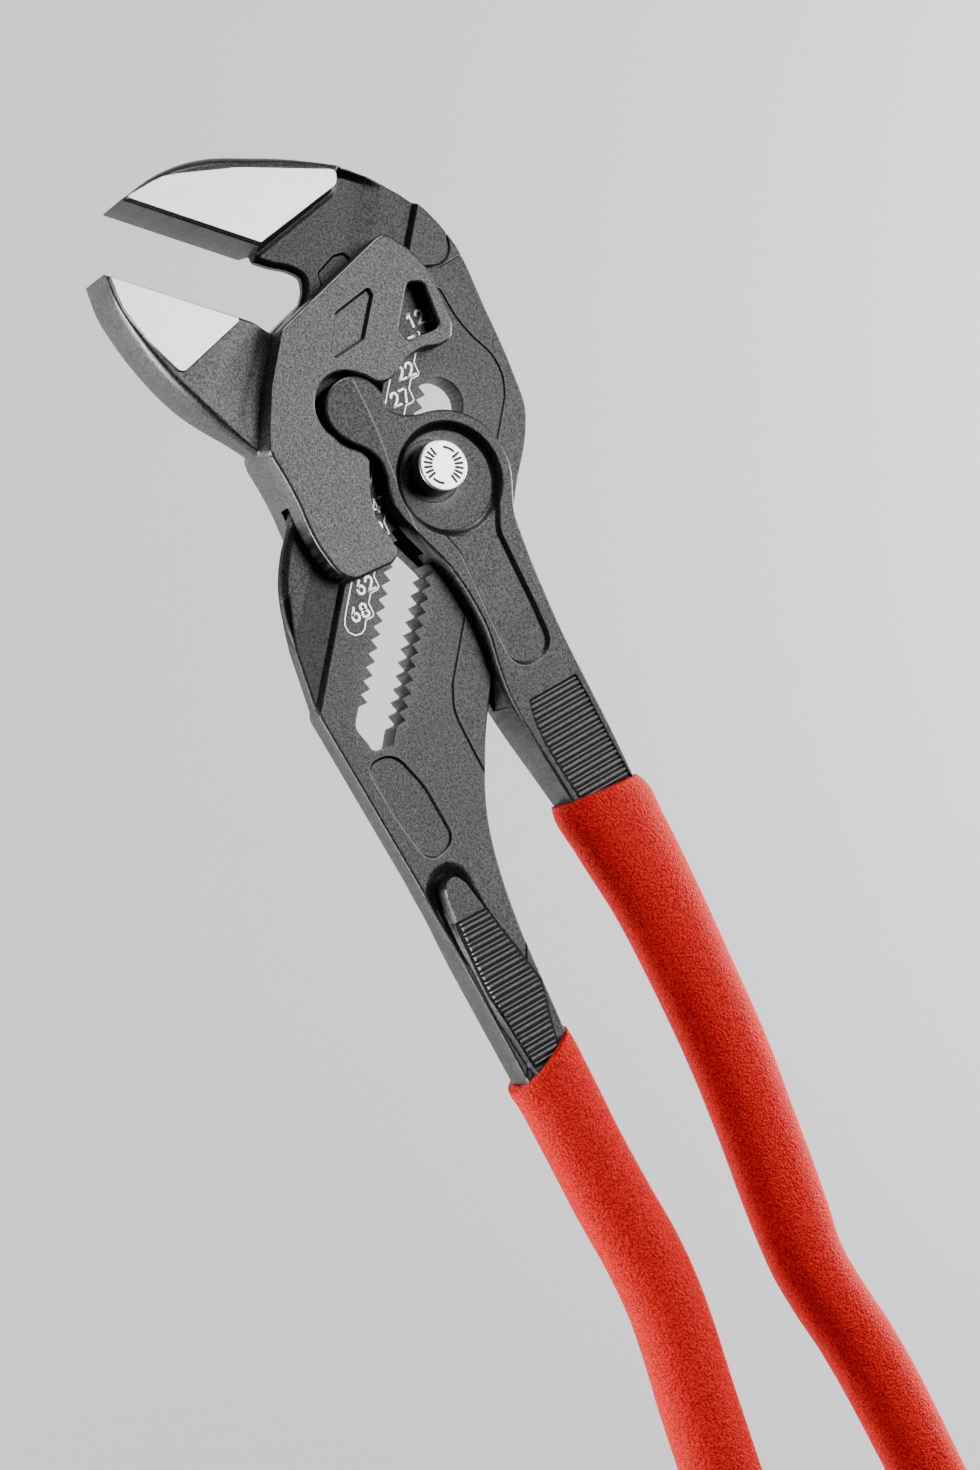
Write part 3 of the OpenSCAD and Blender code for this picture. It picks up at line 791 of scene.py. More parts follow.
def fixedRelief(thicker=0.0):
    f = fixedLever
    relief = Relief(f["band"], 0.45)
    field = ([(-35, -14)] + curve([[-35, -4], [-31, 0], [-28.3, 4], [-26, 8.6], [-22.8, 11.4], [-19, 12.7]])
             + curve([[37, 12.6], [41.6, 13.9], [46, 17.3], [51.4, 22.1]]) + [(62, 32), (200, 60), (200, -14)])
    # a positive shine paints a highlight along a step's rim, a negative one paints shade
    relief.area(inSlot(field), f["field"], width=0.45, shine=0.25)
    relief.area(inSlot(rounded([(-49, -14, 0), (-60, 0, 0), (-44, 0, 0), (-39, -5, 2), (-37.4, -14, 0)])),
                f["topPad"], width=0.3, shine=0.35)
    backScratch = [[-40.4, 25.6], [-38.7, 24.2], [-36.6, 23.6], [-35.0, 22.2], [-34.3, 20.0], [-35.0, 17.4]]
    relief.fall(curve(backScratch), 0.3, 0.28, power=1.0, step=0.6)
    relief.area(slotSide(f["shoulder"], -1), f["blade"], width=1.0, shift=0.5, shine=0.6)
    # painted shade darkens the blade a little beyond the shoulder
    relief.area(slotSide(f["shoulder"] - 1.0, -1), by=0.0, width=0.3, shine=-0.12)
    bladeShade = [(8, f["shoulder"] - 1.0), (57, f["shoulder"] - 1.0), (56, -15), (37.5, -19.2),
                  (33.8, -18.6), (21.7, -18.3), (8, -18.3)]
    relief.area(inSlot(bladeShade), by=0.0, width=0.5, shine=-0.45)
    edgeShade = [[-1, -29.6], [1.5, -33.5], [8, -38], [15, -40], [22, -40], [21, -38.1], [15.2, -36.3],
                 [9.2, -34.2], [4.8, -31.0], [2.0, -28.0]]
    relief.area(edgeShade, by=0.0, width=0.6, shine=-0.9)
    # the facet is raised a hair and takes a little painted shade
    bladeFacet = [[-3.6, -28.6], [5.0, -24.6], [10.6, -36.2], [4.0, -36.0]]
    relief.area(bladeFacet, by=0.06, width=0.12, shine=-0.1)
    neckHollow = [[-38, -3.1, 0.8], [-41.3, -2.7, 0.8], [-43.2, 1.6, 1], [-43, 3.8, 0.8], [-41.2, 4.6, 0.8],
                  [-37, 3, 1]]
    relief.area(rounded(neckHollow), by=-f["neckDrop"], width=0.5, shine=0.2)
    # beside the pad the jaw steps down to the neck, with a fillet at its foot
    fold = [[-53.4, 17.4], [-44.2, 10.8], [-36, 5]]

    def foldedHead(points, z):
        left = inside(points, np.vstack([fold, [[-36, -20], [-70, -20], [-70, 17.4]]]))
        z = z - np.where(left, np.minimum(lineDistance(points, fold)[0] * 0.06, 0.3), 0)
        far, share = lineDistance(points, jawBack[16:23], False, [3.3, 3.3, 3.1, 2.4, 1.3, 0.5, 0.0])
        return z + share * smooth(1 - far / 1.6)
    relief.shape(foldedHead)
    relief.guides += [(fold, False, off, 1.0) for off in (-0.2, 0.0, 0.2)]
    relief.guides += [(jawBack[16:23], False, off * side, 1.0) for off in (0.5, 1.0, 1.5) for side in (-1, 1)]
    relief.area(jawHead, by=0.5, width=1.2, shift=-0.9)
    relief.area(jawHead, f["jaw"] + thicker, width=1.05, shift=0.15)
    weights = np.interp(np.arange(21), [0, 2, 4, 8, 12, 16, 19, 20],
                        [0.12, 0.2, 0.45, 0.85, 0.9, 0.62, 0.35, 0.15])
    relief.fall(jawBack[:21], 2.6, 3.2, weights)
    relief.fall(throat, 1.3, 1.5)
    weights = np.interp(np.arange(len(bladeLeft) - 4), [0, 2, 5, 13], [0.2, 0.5, 1, 1])
    relief.fall(bladeLeft[1:-3], 1.5, 1.3, weights)
    relief.area(padUpper, f["pad"] + thicker, width=0.22, shine=0.5)
    tongueOval = [[43.4, -35.3, 2], [43.4, -29.3, 4.4], [51.5, -26.4, 12], [62.6, -25.3, 3],
                  [64.8, -31.8, 3], [54, -34.2, 12]]
    relief.area(rounded(tongueOval), by=-f["ovalDrop"], width=0.45, shine=0.5)

    def handleRise(points, z):
        return z + (f["handle"] - f["band"]) * smooth((points[:, 0] - 62) / 26)
    relief.shape(handleRise)
    # a groove runs round the tongue, deep on its left and fading down its right
    groove = curve([[84, -33.9], [78, -34.1], [73, -34.0], [69.6, -33.2], [67.9, -31.4], [67.7, -29.4],
                    [68.8, -27.8], [71.4, -27.0], [76, -26.1], [82, -24.6], [88, -22.8]])
    depth = np.interp(np.arange(len(groove)) / 4, range(11),
                      [0.1, 0.5, 0.9, 1, 1, 1, 0.8, 0.5, 0.32, 0.25, 0.12])
    relief.fall(groove, 2.3, 1.5, depth, power=1.4, step=0.8)
    # painted shade on the wall beside the rib pad, then the pad with a faint painted highlight round it
    relief.area(ribPadLine, by=0.0, width=0.9, shift=-0.5, shine=-0.75)
    relief.area(ribPadLine, f["ribPad"], width=0.9, shift=-0.2, shine=0.1, step=0.9)
    # the floor between the ribs is painted near black, a painted shade
    relief.area(ribPanel, f["ribFloor"], width=0.3, shine=-0.85, step=0.9)
    return relief


padUpper = rounded([along(fixedLever["faceS"] - 0.5, fixedLever["tipW"] + 0.5) + [0.3], [-67.3, -25, 12],
                    [-64.0, -11, 30], [-57.2, 7.6, 1.6], [-54.6, 6.2, 1.6],
                    along(fixedLever["faceS"] - 0.5, -40.6) + [0.4]])
jawHead = rounded([[-90, 12, 0], [-61.5, 11.0, 0], [-57.4, 8.5, 1.5], [-54.4, 6.3, 1.5],
                   along(-30.4, -40.5) + [0.3], along(-20, -42) + [0], along(-20, -90) + [0], [-100, -40, 0]])
ribRailLeft = [[76.6, -32.4], [82.4, -32.7], [86.2, -32.7], [90.2, -32.5], [94.1, -32.2], [98.1, -31.8],
               [102.3, -31.1], [105.4, -30.5]]
ribRailRight = [[76.6, -26.1], [82.5, -24.7], [86.5, -23.6], [90.4, -22.6], [92.6, -22.2], [94.8, -22.4],
                [98.3, -23.4], [102.2, -24.0], [105.3, -24.6]]
ribPadLine = rounded([[68.6, -32.4, 2.2], [67.8, -29.2, 1.8], [70.2, -27.8, 3], [81, -25.3, 12],
                      [92.4, -21.9, 2], [99, -23.5, 8], [108, -25.4, 0], [108, -30.4, 0],
                      [94.8, -32.5, 30], [81, -33.1, 30]])
ribPanel = [[76.0, -33.2], [90, -33.0], [106.0, -30.6], [106.0, -24.2], [99, -23.0], [92.4, -21.6],
            [76.0, -26.0]]

fixedTop, fixedRear = fixedRelief(), fixedRelief(0.9)
fixedUnder = Relief(midZ)
fixedPlan = planHalf(leverOutline, [slotLine()], fixedTop, fixedUnder, [0.16])


def webGrime(loop):
    # the blade's own wall and the walls of the toothed slot are painted almost black, a painted shade
    s, w = slotFrame(loop)
    blade = smooth((20 - loop[:, 0]) / 4) * smooth((loop[:, 0] + 6) / 4) * (loop[:, 1] < -26)
    return -0.75 * np.maximum(blade, 0.9 * ((abs(w) < 5.6) & (s > -20) & (s < 54)))


fixedHalves = [raiseHalf(fixedPlan, relief, fixedUnder, webGrime) for relief in (fixedTop, fixedRear)]


def onPad(pad, high, low, rim=0.13):
    # the second material inside a pad's rim, front and rear
    def choose(centres):
        deep = signedDistance(centres[:, :2], pad) > rim
        return np.where(deep & ((centres[:, 2] > high) | (centres[:, 2] < low)), 1, 0)
    return choose


fixedSteel = forgedPiece("fixedLeverBody", [fixedHalves[0], mirrored(fixedHalves[1])],
                         [forgedSteel, polishedSteel], onPad(padUpper, 11.8, 0.3))
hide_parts("fixed_lever")
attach(fixedSteel, "fixed_side")

# Sliding jaw: lower jaw and the two plates that straddle the web
slidingJaw = {"plate": 13.0, "jaw": 12.4, "pad": 12.9, "valley": 9.6, "diamondDrop": 0.9,
              "faceS": -16.5, "cavityW": -34.2, "bladeW": -24.7}
jawLower = curve([along(slidingJaw["faceS"], -67.7), [-49.2, -43.7], [-43.6, -43], [-37.6, -41.6],
                  [-31.6, -39.5], [-24.9, -36], [-19.5, -32.4], [-14.2, -28.9]])
plateLow = curve([[-14.2, -28.9], [-9, -28.2], [-4, -27.9], [0.8, -28], [6, -27.4], [11, -25.5], [12.4, -23.6]])
plateMouth = curve([[12.4, -15.6], [11.4, -13.9], [7.6, -13.7]], 3)
plateLobe = curve([[7.6, -14.2], [3.4, -14.7], [-0.7, -13.7], [-4.2, -12.1], [-6.4, -11.3], [-8.2, -12],
                   [-9.9, -14.0], [-11.3, -15.2]])
plateNeck = curve([[-20.1, -4.9], [-18.6, -3.4], [-18.1, -1.4], [-18.7, 0.8], [-19.9, 3], [-20.8, 5.6],
                   [-21, 8.4], [-20.4, 11.6], [-20.9, 14.4], [-23.2, 15.9]])
plateTop = curve([[-30, 16], [-33.8, 15.9], [-37.4, 14.7], [-41, 12.4], [-43, 10.4], [-43, 8.6]], 3)
socketArc = [list(p) for p in inSlot(arc((-6.52, -18.75), 6.4, -14, -180, 18) + [[-12.92, -16.85]])]
plateCorner = along(slidingJaw["faceS"], slidingJaw["cavityW"])
jawOutline = (plateTop + [plateCorner] + jawLower + plateLow[1:] + plateMouth + plateLobe[1:]
              + socketArc + plateNeck)
padLower = rounded([along(slidingJaw["faceS"] + 0.28, -67.0) + [0.3], [-48, -43.2, 20], [-40.6, -41.1, 12],
                    [-33.3, -37.9, 1.4], along(slidingJaw["faceS"] + 0.28, -41.6) + [0.6]])
windowLine = rounded([[-33.2, 10.7, 1.3], [-32.2, 13.6, 1.1], [-24, 13.1, 0.9], [-23.4, 12, 0.8],
                      [-23.6, 5.8, 0.9], [-26.2, 5.3, 0.9]])


def jawReliefs():
    j = slidingJaw
    relief = Relief(j["plate"], 0.6)
    edge = np.array([plateCorner, [-25.3, -23.4], [-18.4, -27.2], [-13.6, -29.4]])
    jawSide = np.vstack([edge, [[-14, -60], [-80, -60], [-80, 10]], [along(-40, -34.2)]])
    padSide = np.array([along(-16.5, -41.4), [-33.1, -37.9], [-29.0, -42]])

    def jawLevel(points):
        near = lineDistance(points, edge)[0]
        toPad = lineDistance(points, padSide)[0]
        t = near / np.maximum(near + toPad, 1e-6)
        return j["valley"] + (j["jaw"] - j["valley"]) * smooth(np.clip(t * 1.25, 0, 1))
    relief.area(jawSide, jawLevel, width=1.1, shift=0.2)
    spread = np.interp(np.arange(len(jawLower)), [0, 4, 12, 20, 28], [0.1, 0.35, 0.8, 0.9, 0.5])
    relief.fall(jawLower, 1.5, 1.7, spread)
    # the pad and the diamond take a painted highlight along their rims
    relief.area(padLower, j["pad"], width=0.22, shine=0.5)
    diamond = [[-35, 2.9, 0.6], [-33.6, 3, 0.6], [-26.8, -2.4, 0.8], [-25.6, -9.3, 0.8], [-26.8, -9.4, 0.6],
               [-33, -5.4, 1]]
    relief.area(rounded(diamond), by=-j["diamondDrop"], width=0.55, shine=0.3)
    under = Relief(midZ)
    under.area(inSlot([(-200, j["cavityW"]), (-3.5, j["cavityW"]), (10.5, j["bladeW"]), (200, j["bladeW"]),
                       (200, 200), (-200, 200)]), 8.2, width=0.06)
    under.area(slotSide(-11.5, 1), 9.6, width=0.06)
    return relief, under


jawTop, jawUnder = jawReliefs()


def plateGrime(loop):
    # the plates' lower wall is painted black down to the blade, a painted shade
    return -0.92 * np.where(loop[:, 1] > -24, 1, smooth((loop[:, 0] + 3) / 5))


jawHalf = makeHalf(jawOutline, [windowLine], jawTop, jawUnder, [0.55], plateGrime)
jawSteel = forgedPiece("slidingJawBody", [jawHalf, mirrored(jawHalf)], [jawForged, polishedSteel],
                       onPad(padLower, 12.8, 0.2))
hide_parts("sliding_jaw")
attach(jawSteel, "jaw")

# Moving lever: nose, boss and the arm under the right grip
movingLever = {"face": 13.0, "recess": 11.2, "recessR": 9.9, "fieldDrop": 0.7, "boss": (2.6, 2.1),
               "bossR": 12.9, "nose": (-15.7, -9.5), "noseR": 6.1, "bendX": 30.0, "slope": 3.9,
               "ribDrop": 0.6, "coverR": 6.4, "coverZ": 1.3, "frontBore": 5.85, "rearBore": 2.85}
armTop = curve([[8.2, 13.7], [13, 11.7], [19, 11.0], [30, 10.6], [38, 10.9], [46, 11.6], [57, 12.6],
                [70, 13.4]])
armLeft = curve([[70, -0.3], [58.5, -2.4], [50.6, -3.9], [43.5, -4.8], [38, -4.7], [31, -4], [24, -4.4],
                 [17.5, -5.7], [10, -8.8], [6.4, -10.1], [3, -10.8]])
neckLow = curve([[0, -10.45], [-2.8, -9.6], [-5.4, -9.6], [-8.1, -10.9], [-10.2, -13], [-12.4, -14.7]])
neckHigh = curve([[-13.6, -3.6], [-12.5, -2.7], [-10.8, 0.2], [-10.25, 3]])
movingOutline = (armTop + armLeft + neckLow + arc(movingLever["nose"], movingLever["noseR"], -60, -286, 28)
                 + neckHigh + arc(movingLever["boss"], movingLever["bossR"], 174, 66, 30))
ribArmLeft = [[46.2, -1.7], [49.8, -2.1], [54.0, -1.9], [58.0, -1.3], [62.1, -0.5], [66.5, 0.6]]
ribArmRight = [[45.6, 10.1], [49.5, 10.8], [54.0, 11.3], [58.0, 11.7], [62.0, 12.2], [66.0, 12.6]]


def armFace(points):
    fall = np.maximum(points[:, 0] - movingLever["bendX"], 0) * math.tan(math.radians(movingLever["slope"]))
    return movingLever["face"] - fall


def movingReliefs():
    m = movingLever
    crease = curve([[-24, -8.0], [-10.8, -7.6], [-2.8, -8.2], [4.6, -8.5], [9.4, -8.5], [14.3, -6.8], [18, -5]])
    ribPlace = [[45.7, -1.3], [49.8, -1.8], [54.0, -1.6], [58.0, -1.0], [62.1, -0.2], [66.2, 0.6], [70, 1],
                [70, 14], [66, 12.2], [62, 11.8], [58, 11.3], [54, 10.9], [50, 10.5], [45.1, 9.7]]

    lowSide = np.vstack([crease, [[18, -30], [-30, -30]]])

    def lean(points, z):
        far = lineDistance(points, crease)[0]
        return z - np.where(inside(points, lowSide), np.minimum(far * 0.05, 0.4), 0)
    front = Relief(armFace, 0.55)
    front.shape(lean)
    front.guides += [(crease, False, 0.0, 1.0), (crease, False, 0.25, 1.0), (crease, False, -0.25, 1.0)]
    # a painted highlight along the crease, and the floor under the ribs painted near black, a painted shade
    front.area(lowSide, by=0.0, width=0.2, shine=0.5)
    front.area(ribPlace, by=-m["ribDrop"], width=0.3, shine=-0.85, step=1.2)
    front.fall(armLeft[6:40], 0.8, 1.2, np.interp(np.arange(34), [0, 6, 14, 26, 33], [0.4, 0.7, 1, 1, 0.6]))
    longField = rounded([[4, -4, 0], [11, -3.6, 2], [16, -1.9, 8], [30, -1.9, 20], [39.4, -1.2, 3.8],
                         [39.4, 7.6, 3.8], [30, 7.4, 20], [15, 6.9, 4], [9.4, 9.6, 0], [4, 9, 0]])
    # the long field and the recess take a painted highlight along their rims
    front.area(longField, by=-m["fieldDrop"], width=0.9, shine=0.3)
    front.area(circleLine(m["boss"], m["recessR"], 96), m["recess"], width=1.6, shift=-0.15, shine=0.3)
    rear = Relief(armFace, 0.4)
    rear.shape(lean)
    # the floor under the rear ribs is painted near black, a painted shade, and the cover ring takes a painted
    # highlight
    rear.area(ribPlace, by=-m["ribDrop"], width=0.3, shine=-0.85, step=1.2)
    rear.area(circleLine((0, 0), m["coverR"], 72), 2 * midZ - m["coverZ"], width=0.1, shine=0.4)
    solid = [along(10.5, 23), along(33, 23.1), along(38.2, 24.4), [47, -8], [90, -20], [90, 30], [20, 30]]
    under = Relief(9.6)
    under.area(solid, midZ, width=0.06)
    return front, rear, under


def armGrime(loop):
    # the arm's wall is painted black beside the web and greyer towards the grip, a painted shade
    return -0.92 * smooth((54 - loop[:, 0]) / 10) * (loop[:, 1] < 3)


frontRelief, rearRelief, forkUnder = movingReliefs()
frontHalf = makeHalf(movingOutline, [circleLine((0, 0), movingLever["frontBore"])], frontRelief, forkUnder,
                     [0.1], armGrime, [rearRelief])
rearHalf = makeHalf(movingOutline, [circleLine((0, 0), movingLever["rearBore"], 40)], rearRelief, forkUnder,
                    [0.1], armGrime, [frontRelief])
movingSteel = forgedPiece("movingLeverBody", [frontHalf, mirrored(rearHalf)], [forgedSteel])
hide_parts("moving_lever")
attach(movingSteel, "lever")
print("steel made")

# Grips: dipped plastic over the tangs
gripShape = {"around": 64, "thick": 13.0, "square": 0.9, "taper": 0.45,
             "mouth": ((0.60, 1.6), (0.72, 0.0), (0.86, -0.15), (0.95, 0.15)),
             "end": ((0.8, 0.7), (0.5, 1.3), (0.2, 1.6))}
fixedStations = [[105.8, -34.55, -20.05, -0.46], [107.1, -34.55, -19.75, -0.38], [112, -34.05, -19.35, -0.1],
                 [124, -33.25, -18.85, 0], [136, -32.55, -17.85, 0], [147, -31.55, -16.75, 0],
                 [156, -31.35, -16.75, 0], [165, -32.25, -17.55, 0], [175, -33.75, -18.85, 0],
                 [187, -35.15, -20.25, 0], [200, -36.25, -21.75, 0], [212, -37.15, -23.05, 0],
                 [218, -36.95, -24.05, 0], [221.5, -34.55, -26.85, 0]]
movingStations = [[66.6, -2.75, 14.95, 0.06], [68.2, -3.15, 15.95, 0.05], [76, -2.05, 16.75, 0],
                  [90, 0.15, 17.25, 0], [106, 1.15, 17.35, 0], [124, 1.35, 17.25, 0], [138, 0.65, 16.15, 0],
                  [148, -0.15, 15.45, 0], [157, -0.65, 14.55, 0], [164, -0.65, 13.65, 0], [172, 0.25, 14.45, 0],
                  [182, 2.05, 16.25, 0], [193, 3.25, 17.45, 0], [206, 4.15, 18.05, 0], [218, 4.85, 18.35, 0],
                  [227, 5.85, 17.75, 0], [231.6, 8.85, 14.75, 0]]


def smallerRing(ring, share, push):
    heart = ring.mean(0)
    smaller = heart + (ring - heart) * share
    smaller[:, 0] += push
    return smaller


def gripRings(stations, shape):
    fine = np.array(curve(stations, 8))
    last = stations[-3][0]
    tail = np.clip((fine[:, 0] - last) / (stations[-1][0] - last), 0, 1)
    thick = shape["thick"] * (1 - shape["taper"] * tail ** 2)
    turns = (np.arange(shape["around"]) + 0.5) / shape["around"] * 2 * math.pi
    rings = []
    for (x, low, high, slant), t in zip(fine, thick):
        middle, reach = (low + high) / 2, (high - low) / 2
        y = reach * np.sign(np.cos(turns)) * np.abs(np.cos(turns)) ** shape["square"]
        z = t / 2 * np.sign(np.sin(turns)) * np.abs(np.sin(turns)) ** shape["square"]
        rings.append(np.column_stack([x + slant * y, middle + y, midZ + z]))
    # the mouth turns in over a rounded lip, and the end closes
    return ([smallerRing(rings[0], *values) for values in shape["mouth"]] + rings
            + [smallerRing(rings[-1], *values) for values in shape["end"]])


def loftPiece(name, rings, material):
    around = len(rings[0])
    last = (len(rings) - 1) * around
    faces = [(i + k, i + (k + 1) % around, i + (k + 1) % around + around, i + k + around)
             for i in range(0, last, around) for k in range(around)]
    faces += [tuple(range(around))[::-1], tuple(range(last, last + around))]
    mesh = bpy.data.meshes.new(name)
    mesh.from_pydata((np.vstack(rings) * mm).tolist(), [], faces)
    faceOutward(mesh)
    mesh.shade_smooth()
    mesh.materials.append(material)
    print(name, len(mesh.polygons), "faces")
    return addObject(name, mesh)


for name, stations, node, body in (("fixedGripSleeve", fixedStations, "fixed_grip", "fixed_side"),
                                   ("movingGripSleeve", movingStations, "moving_grip", "lever")):
    sleeve = loftPiece(name, gripRings(stations, gripShape), gripPlastic)
    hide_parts(node)
    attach(sleeve, body)
print("grips made")

# Ribs: bars laid between two rails by a node tree, front and rear in one mesh for each lever
ribPlan = {
    "padRibs": {"count": 16, "wide": 0.50, "fine": 0.19, "height": 0.66, "body": "fixed_side",
                "left": ribRailLeft, "right": ribRailRight,
                "z": lambda p: np.full(len(p), fixedLever["ribFloor"] - 0.03)},
    "armRibs": {"count": 12, "wide": 0.50, "fine": 0.19, "height": 0.58, "body": "lever",
                "left": ribArmLeft, "right": ribArmRight,
                "z": lambda p: armFace(p) - movingLever["ribDrop"] - 0.03},
}


def ribTree():
    tree = bpy.data.node_groups.new("ribsOnRails", "GeometryNodeTree")
    for name, kind in (("Geometry", "Geometry"), ("Ridge Count", "Int"), ("Bar Width", "Float"),
                       ("Ridge Width", "Float"), ("Height", "Float"), ("Material", "Material")):
        tree.interface.new_socket(name, in_out="INPUT", socket_type="NodeSocket" + kind)
    tree.interface.new_socket("Geometry", in_out="OUTPUT", socket_type="NodeSocketGeometry")
    nodes = Nodes(tree)
    entry = tree.nodes.new("NodeGroupInput")
    rails, count, wide, fine, height, finish = (Socket(tree, entry.outputs[i]) for i in range(6))
    rails = nodes.add("GeometryNodeMeshToCurve", {}, {"Mesh": rails})
    place = nodes.add("GeometryNodeInputPosition")
    x, y, z = (nodes.add("ShaderNodeSeparateXYZ", {}, {0: place}, output=axis) for axis in (0, 1, 2))
    # a unit block becomes a bar: rounded across, square at its ends, and sunk a little
    y = maths("SINE", y * math.pi) * 0.5
    crown = positive(1 - (y * y * 4) ** 2.4) ** 0.5 * positive(1 - (x * x * 4) ** 9) ** 0.5
    lifted = nodes.add("ShaderNodeCombineXYZ", {}, {0: x * (x * x * 4 + 0.00001) ** -0.35, 1: y,
                                                    2: crown * (z + 0.5) + (z - 0.5) * 0.3})
    rows = tree.nodes.new("GeometryNodeJoinGeometry")
    # the fine ridges take a brighter painted highlight than the wide bars
    for shift, width, tall, shine in ((0.0, fine, 0.85, 0.55), (0.5, wide, 1.0, 0.12)):
        block = nodes.add("GeometryNodeMeshCube", {}, {"Size": (1, 1, 1), "Vertices X": 9, "Vertices Y": 9,
                                                       "Vertices Z": 2})
        block = nodes.add("GeometryNodeSetPosition", {}, {"Geometry": block, "Position": lifted})
        block = nodes.add("GeometryNodeStoreNamedAttribute", {"data_type": "FLOAT", "domain": "POINT"},
                          {"Geometry": block, "Name": "wearAndPaintedLight", "Value": shine})
        row = nodes.add("GeometryNodePoints", {}, {"Count": count - (1 if shift else 0)})
        reach = (nodes.add("GeometryNodeInputIndex") + shift) / (count - 1)
        ends = [nodes.add("GeometryNodeSampleCurve", {"mode": "FACTOR"},
                          {"Curves": rails, "Factor": reach, "Curve Index": side}, output="Position")
                for side in (0, 1)]
        span = nodes.add("ShaderNodeVectorMath", {"operation": "SUBTRACT"}, {0: ends[1], 1: ends[0]})
        length = nodes.add("ShaderNodeVectorMath", {"operation": "LENGTH"}, {0: span}, output="Value")
        middle = nodes.add("ShaderNodeMix", {"data_type": "VECTOR"}, {0: 0.5, 4: ends[0], 5: ends[1]},
                           output=1)
        row = nodes.add("GeometryNodeSetPosition", {}, {"Geometry": row, "Position": middle})
        turn = nodes.add("FunctionNodeAlignRotationToVector", {"axis": "X", "pivot_axis": "Z"},
                         {"Vector": span})
        size = nodes.add("ShaderNodeCombineXYZ", {}, {0: length, 1: width, 2: height * tall})
        ribs = nodes.add("GeometryNodeInstanceOnPoints", {},
                         {"Points": row, "Instance": block, "Rotation": turn, "Scale": size})
        join(tree, rows.inputs[0], ribs)
    ribs = nodes.add("GeometryNodeRealizeInstances", {}, {"Geometry": Socket(tree, rows.outputs[0])})
    ribs = nodes.add("GeometryNodeSetMaterial", {}, {"Geometry": ribs, "Material": finish})
    leave = tree.nodes.new("NodeGroupOutput")
    join(tree, leave.inputs[0], ribs)
    return tree


def makeRibs(name, plan, tree):
    rails, edges, base = [], [], 0
    for rail in (plan["left"], plan["right"]):
        flat = np.array(curve(rail, 6))
        rails.append(np.column_stack([flat, plan["z"](flat)]))
        edges += [(base + i, base + i + 1) for i in range(len(flat) - 1)]
        base += len(flat)
    mesh = bpy.data.meshes.new(name + "Rails")
    mesh.from_pydata((np.vstack(rails) * mm).tolist(), edges, [])
    guide = addObject(name + "Rails", mesh)
    pitch = np.linalg.norm(rails[0][-1] - rails[0][0]) / (plan["count"] - 1)
    modifier = guide.modifiers.new("ribs", "NODES")
    modifier.node_group = tree
    values = {"Ridge Count": plan["count"], "Bar Width": float(pitch * plan["wide"] * mm),
              "Ridge Width": float(pitch * plan["fine"] * mm), "Height": plan["height"] * mm,
              "Material": forgedSteel}
    for item in tree.interface.items_tree:
        if item.in_out == "INPUT" and item.name in values:
            modifier[item.identifier] = values[item.name]
    bpy.context.view_layer.update()
    ready = guide.evaluated_get(bpy.context.evaluated_depsgraph_get())
    ribs = bpy.data.meshes.new_from_object(ready)
    bpy.data.objects.remove(guide)
    rear = ribs.copy()
    rear.transform(Matrix.Translation((0, 0, 2 * midZ * mm)) @ Matrix.Diagonal((1, 1, -1, 1)))
    faceOutward(ribs, rear)
    ribs.shade_smooth()
    ribs.set_sharp_from_angle(angle=math.radians(45))
    piece = addObject(name, ribs)
    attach(piece, plan["body"])
    print(name, len(ribs.polygons), "faces")


ribsOnRails = ribTree()
for name, plan in ribPlan.items():
    makeRibs(name, plan, ribsOnRails)

# Scale on the web: a number at each step of the slot, and the line that goes round them
scaleSet = {"values": (12, 17, 22, 27, 32, 37, 42, 47, 52, 57, 62, 68), "height": 2.4, "width": 1.45,
            "gap": 0.66, "stroke": 0.23, "outline": 0.11, "lift": 0.02, "thick": 0.03,
            "lineW": -10.4, "open": 3.5, "start": (2.1, -6.4), "turn": 0.3,
            "tab": ((-2.15, -6.4), (-0.55, -5.1), (0.05, -5.15), (1.1, -6.4)),
            "foot": ((2.6, -6.2), (3.7, -6.7), (4.35, -7.8), (4.1, -9.2), (3.1, -10.1), (2.0, -10.35),
                     (1, -10.4))}
digitStrokes = {
    "1": [[(0.25, 0.78), (0.62, 1.0), (0.62, 0.0)]],
    "2": [curve([(0.04, 0.76), (0.18, 0.94), (0.5, 1.0), (0.84, 0.92), (0.95, 0.72), (0.8, 0.5),
                 (0.0, 0.0)], 3) + [(1.0, 0.0)]],
    "3": [curve([(0.06, 0.85), (0.25, 0.97), (0.52, 1.0), (0.82, 0.92), (0.9, 0.76), (0.75, 0.6),
                 (0.42, 0.54)], 3)
          + curve([(0.42, 0.54), (0.8, 0.47), (0.97, 0.28), (0.84, 0.08), (0.5, 0.0), (0.2, 0.04),
                   (0.02, 0.18)], 3)],
    "4": [[(0.7, 0.0), (0.7, 1.0), (0.0, 0.3), (1.0, 0.3)]],
    "5": [[(0.92, 1.0), (0.2, 1.0)] + curve([(0.12, 0.55), (0.5, 0.64), (0.86, 0.54), (0.97, 0.3), (0.82, 0.08),
                                            (0.48, 0.0), (0.18, 0.04), (0.0, 0.16)], 3)],
    "6": [curve([(0.72, 1.0), (0.3, 0.62), (0.05, 0.3), (0.16, 0.08), (0.5, 0.0), (0.86, 0.09), (0.97, 0.3),
                 (0.84, 0.51), (0.5, 0.59), (0.2, 0.49)], 3)],
    "7": [[(0.0, 1.0), (1.0, 1.0), (0.36, 0.0)]],
    "8": [curve([(0.5, 0.54), (0.2, 0.62), (0.12, 0.79), (0.24, 0.94), (0.5, 1.0), (0.76, 0.94), (0.88, 0.79),
                 (0.8, 0.62), (0.5, 0.54), (0.14, 0.42), (0.03, 0.24), (0.16, 0.06), (0.5, 0.0), (0.84, 0.06),
                 (0.97, 0.24), (0.86, 0.42), (0.5, 0.54)], 3)],
}


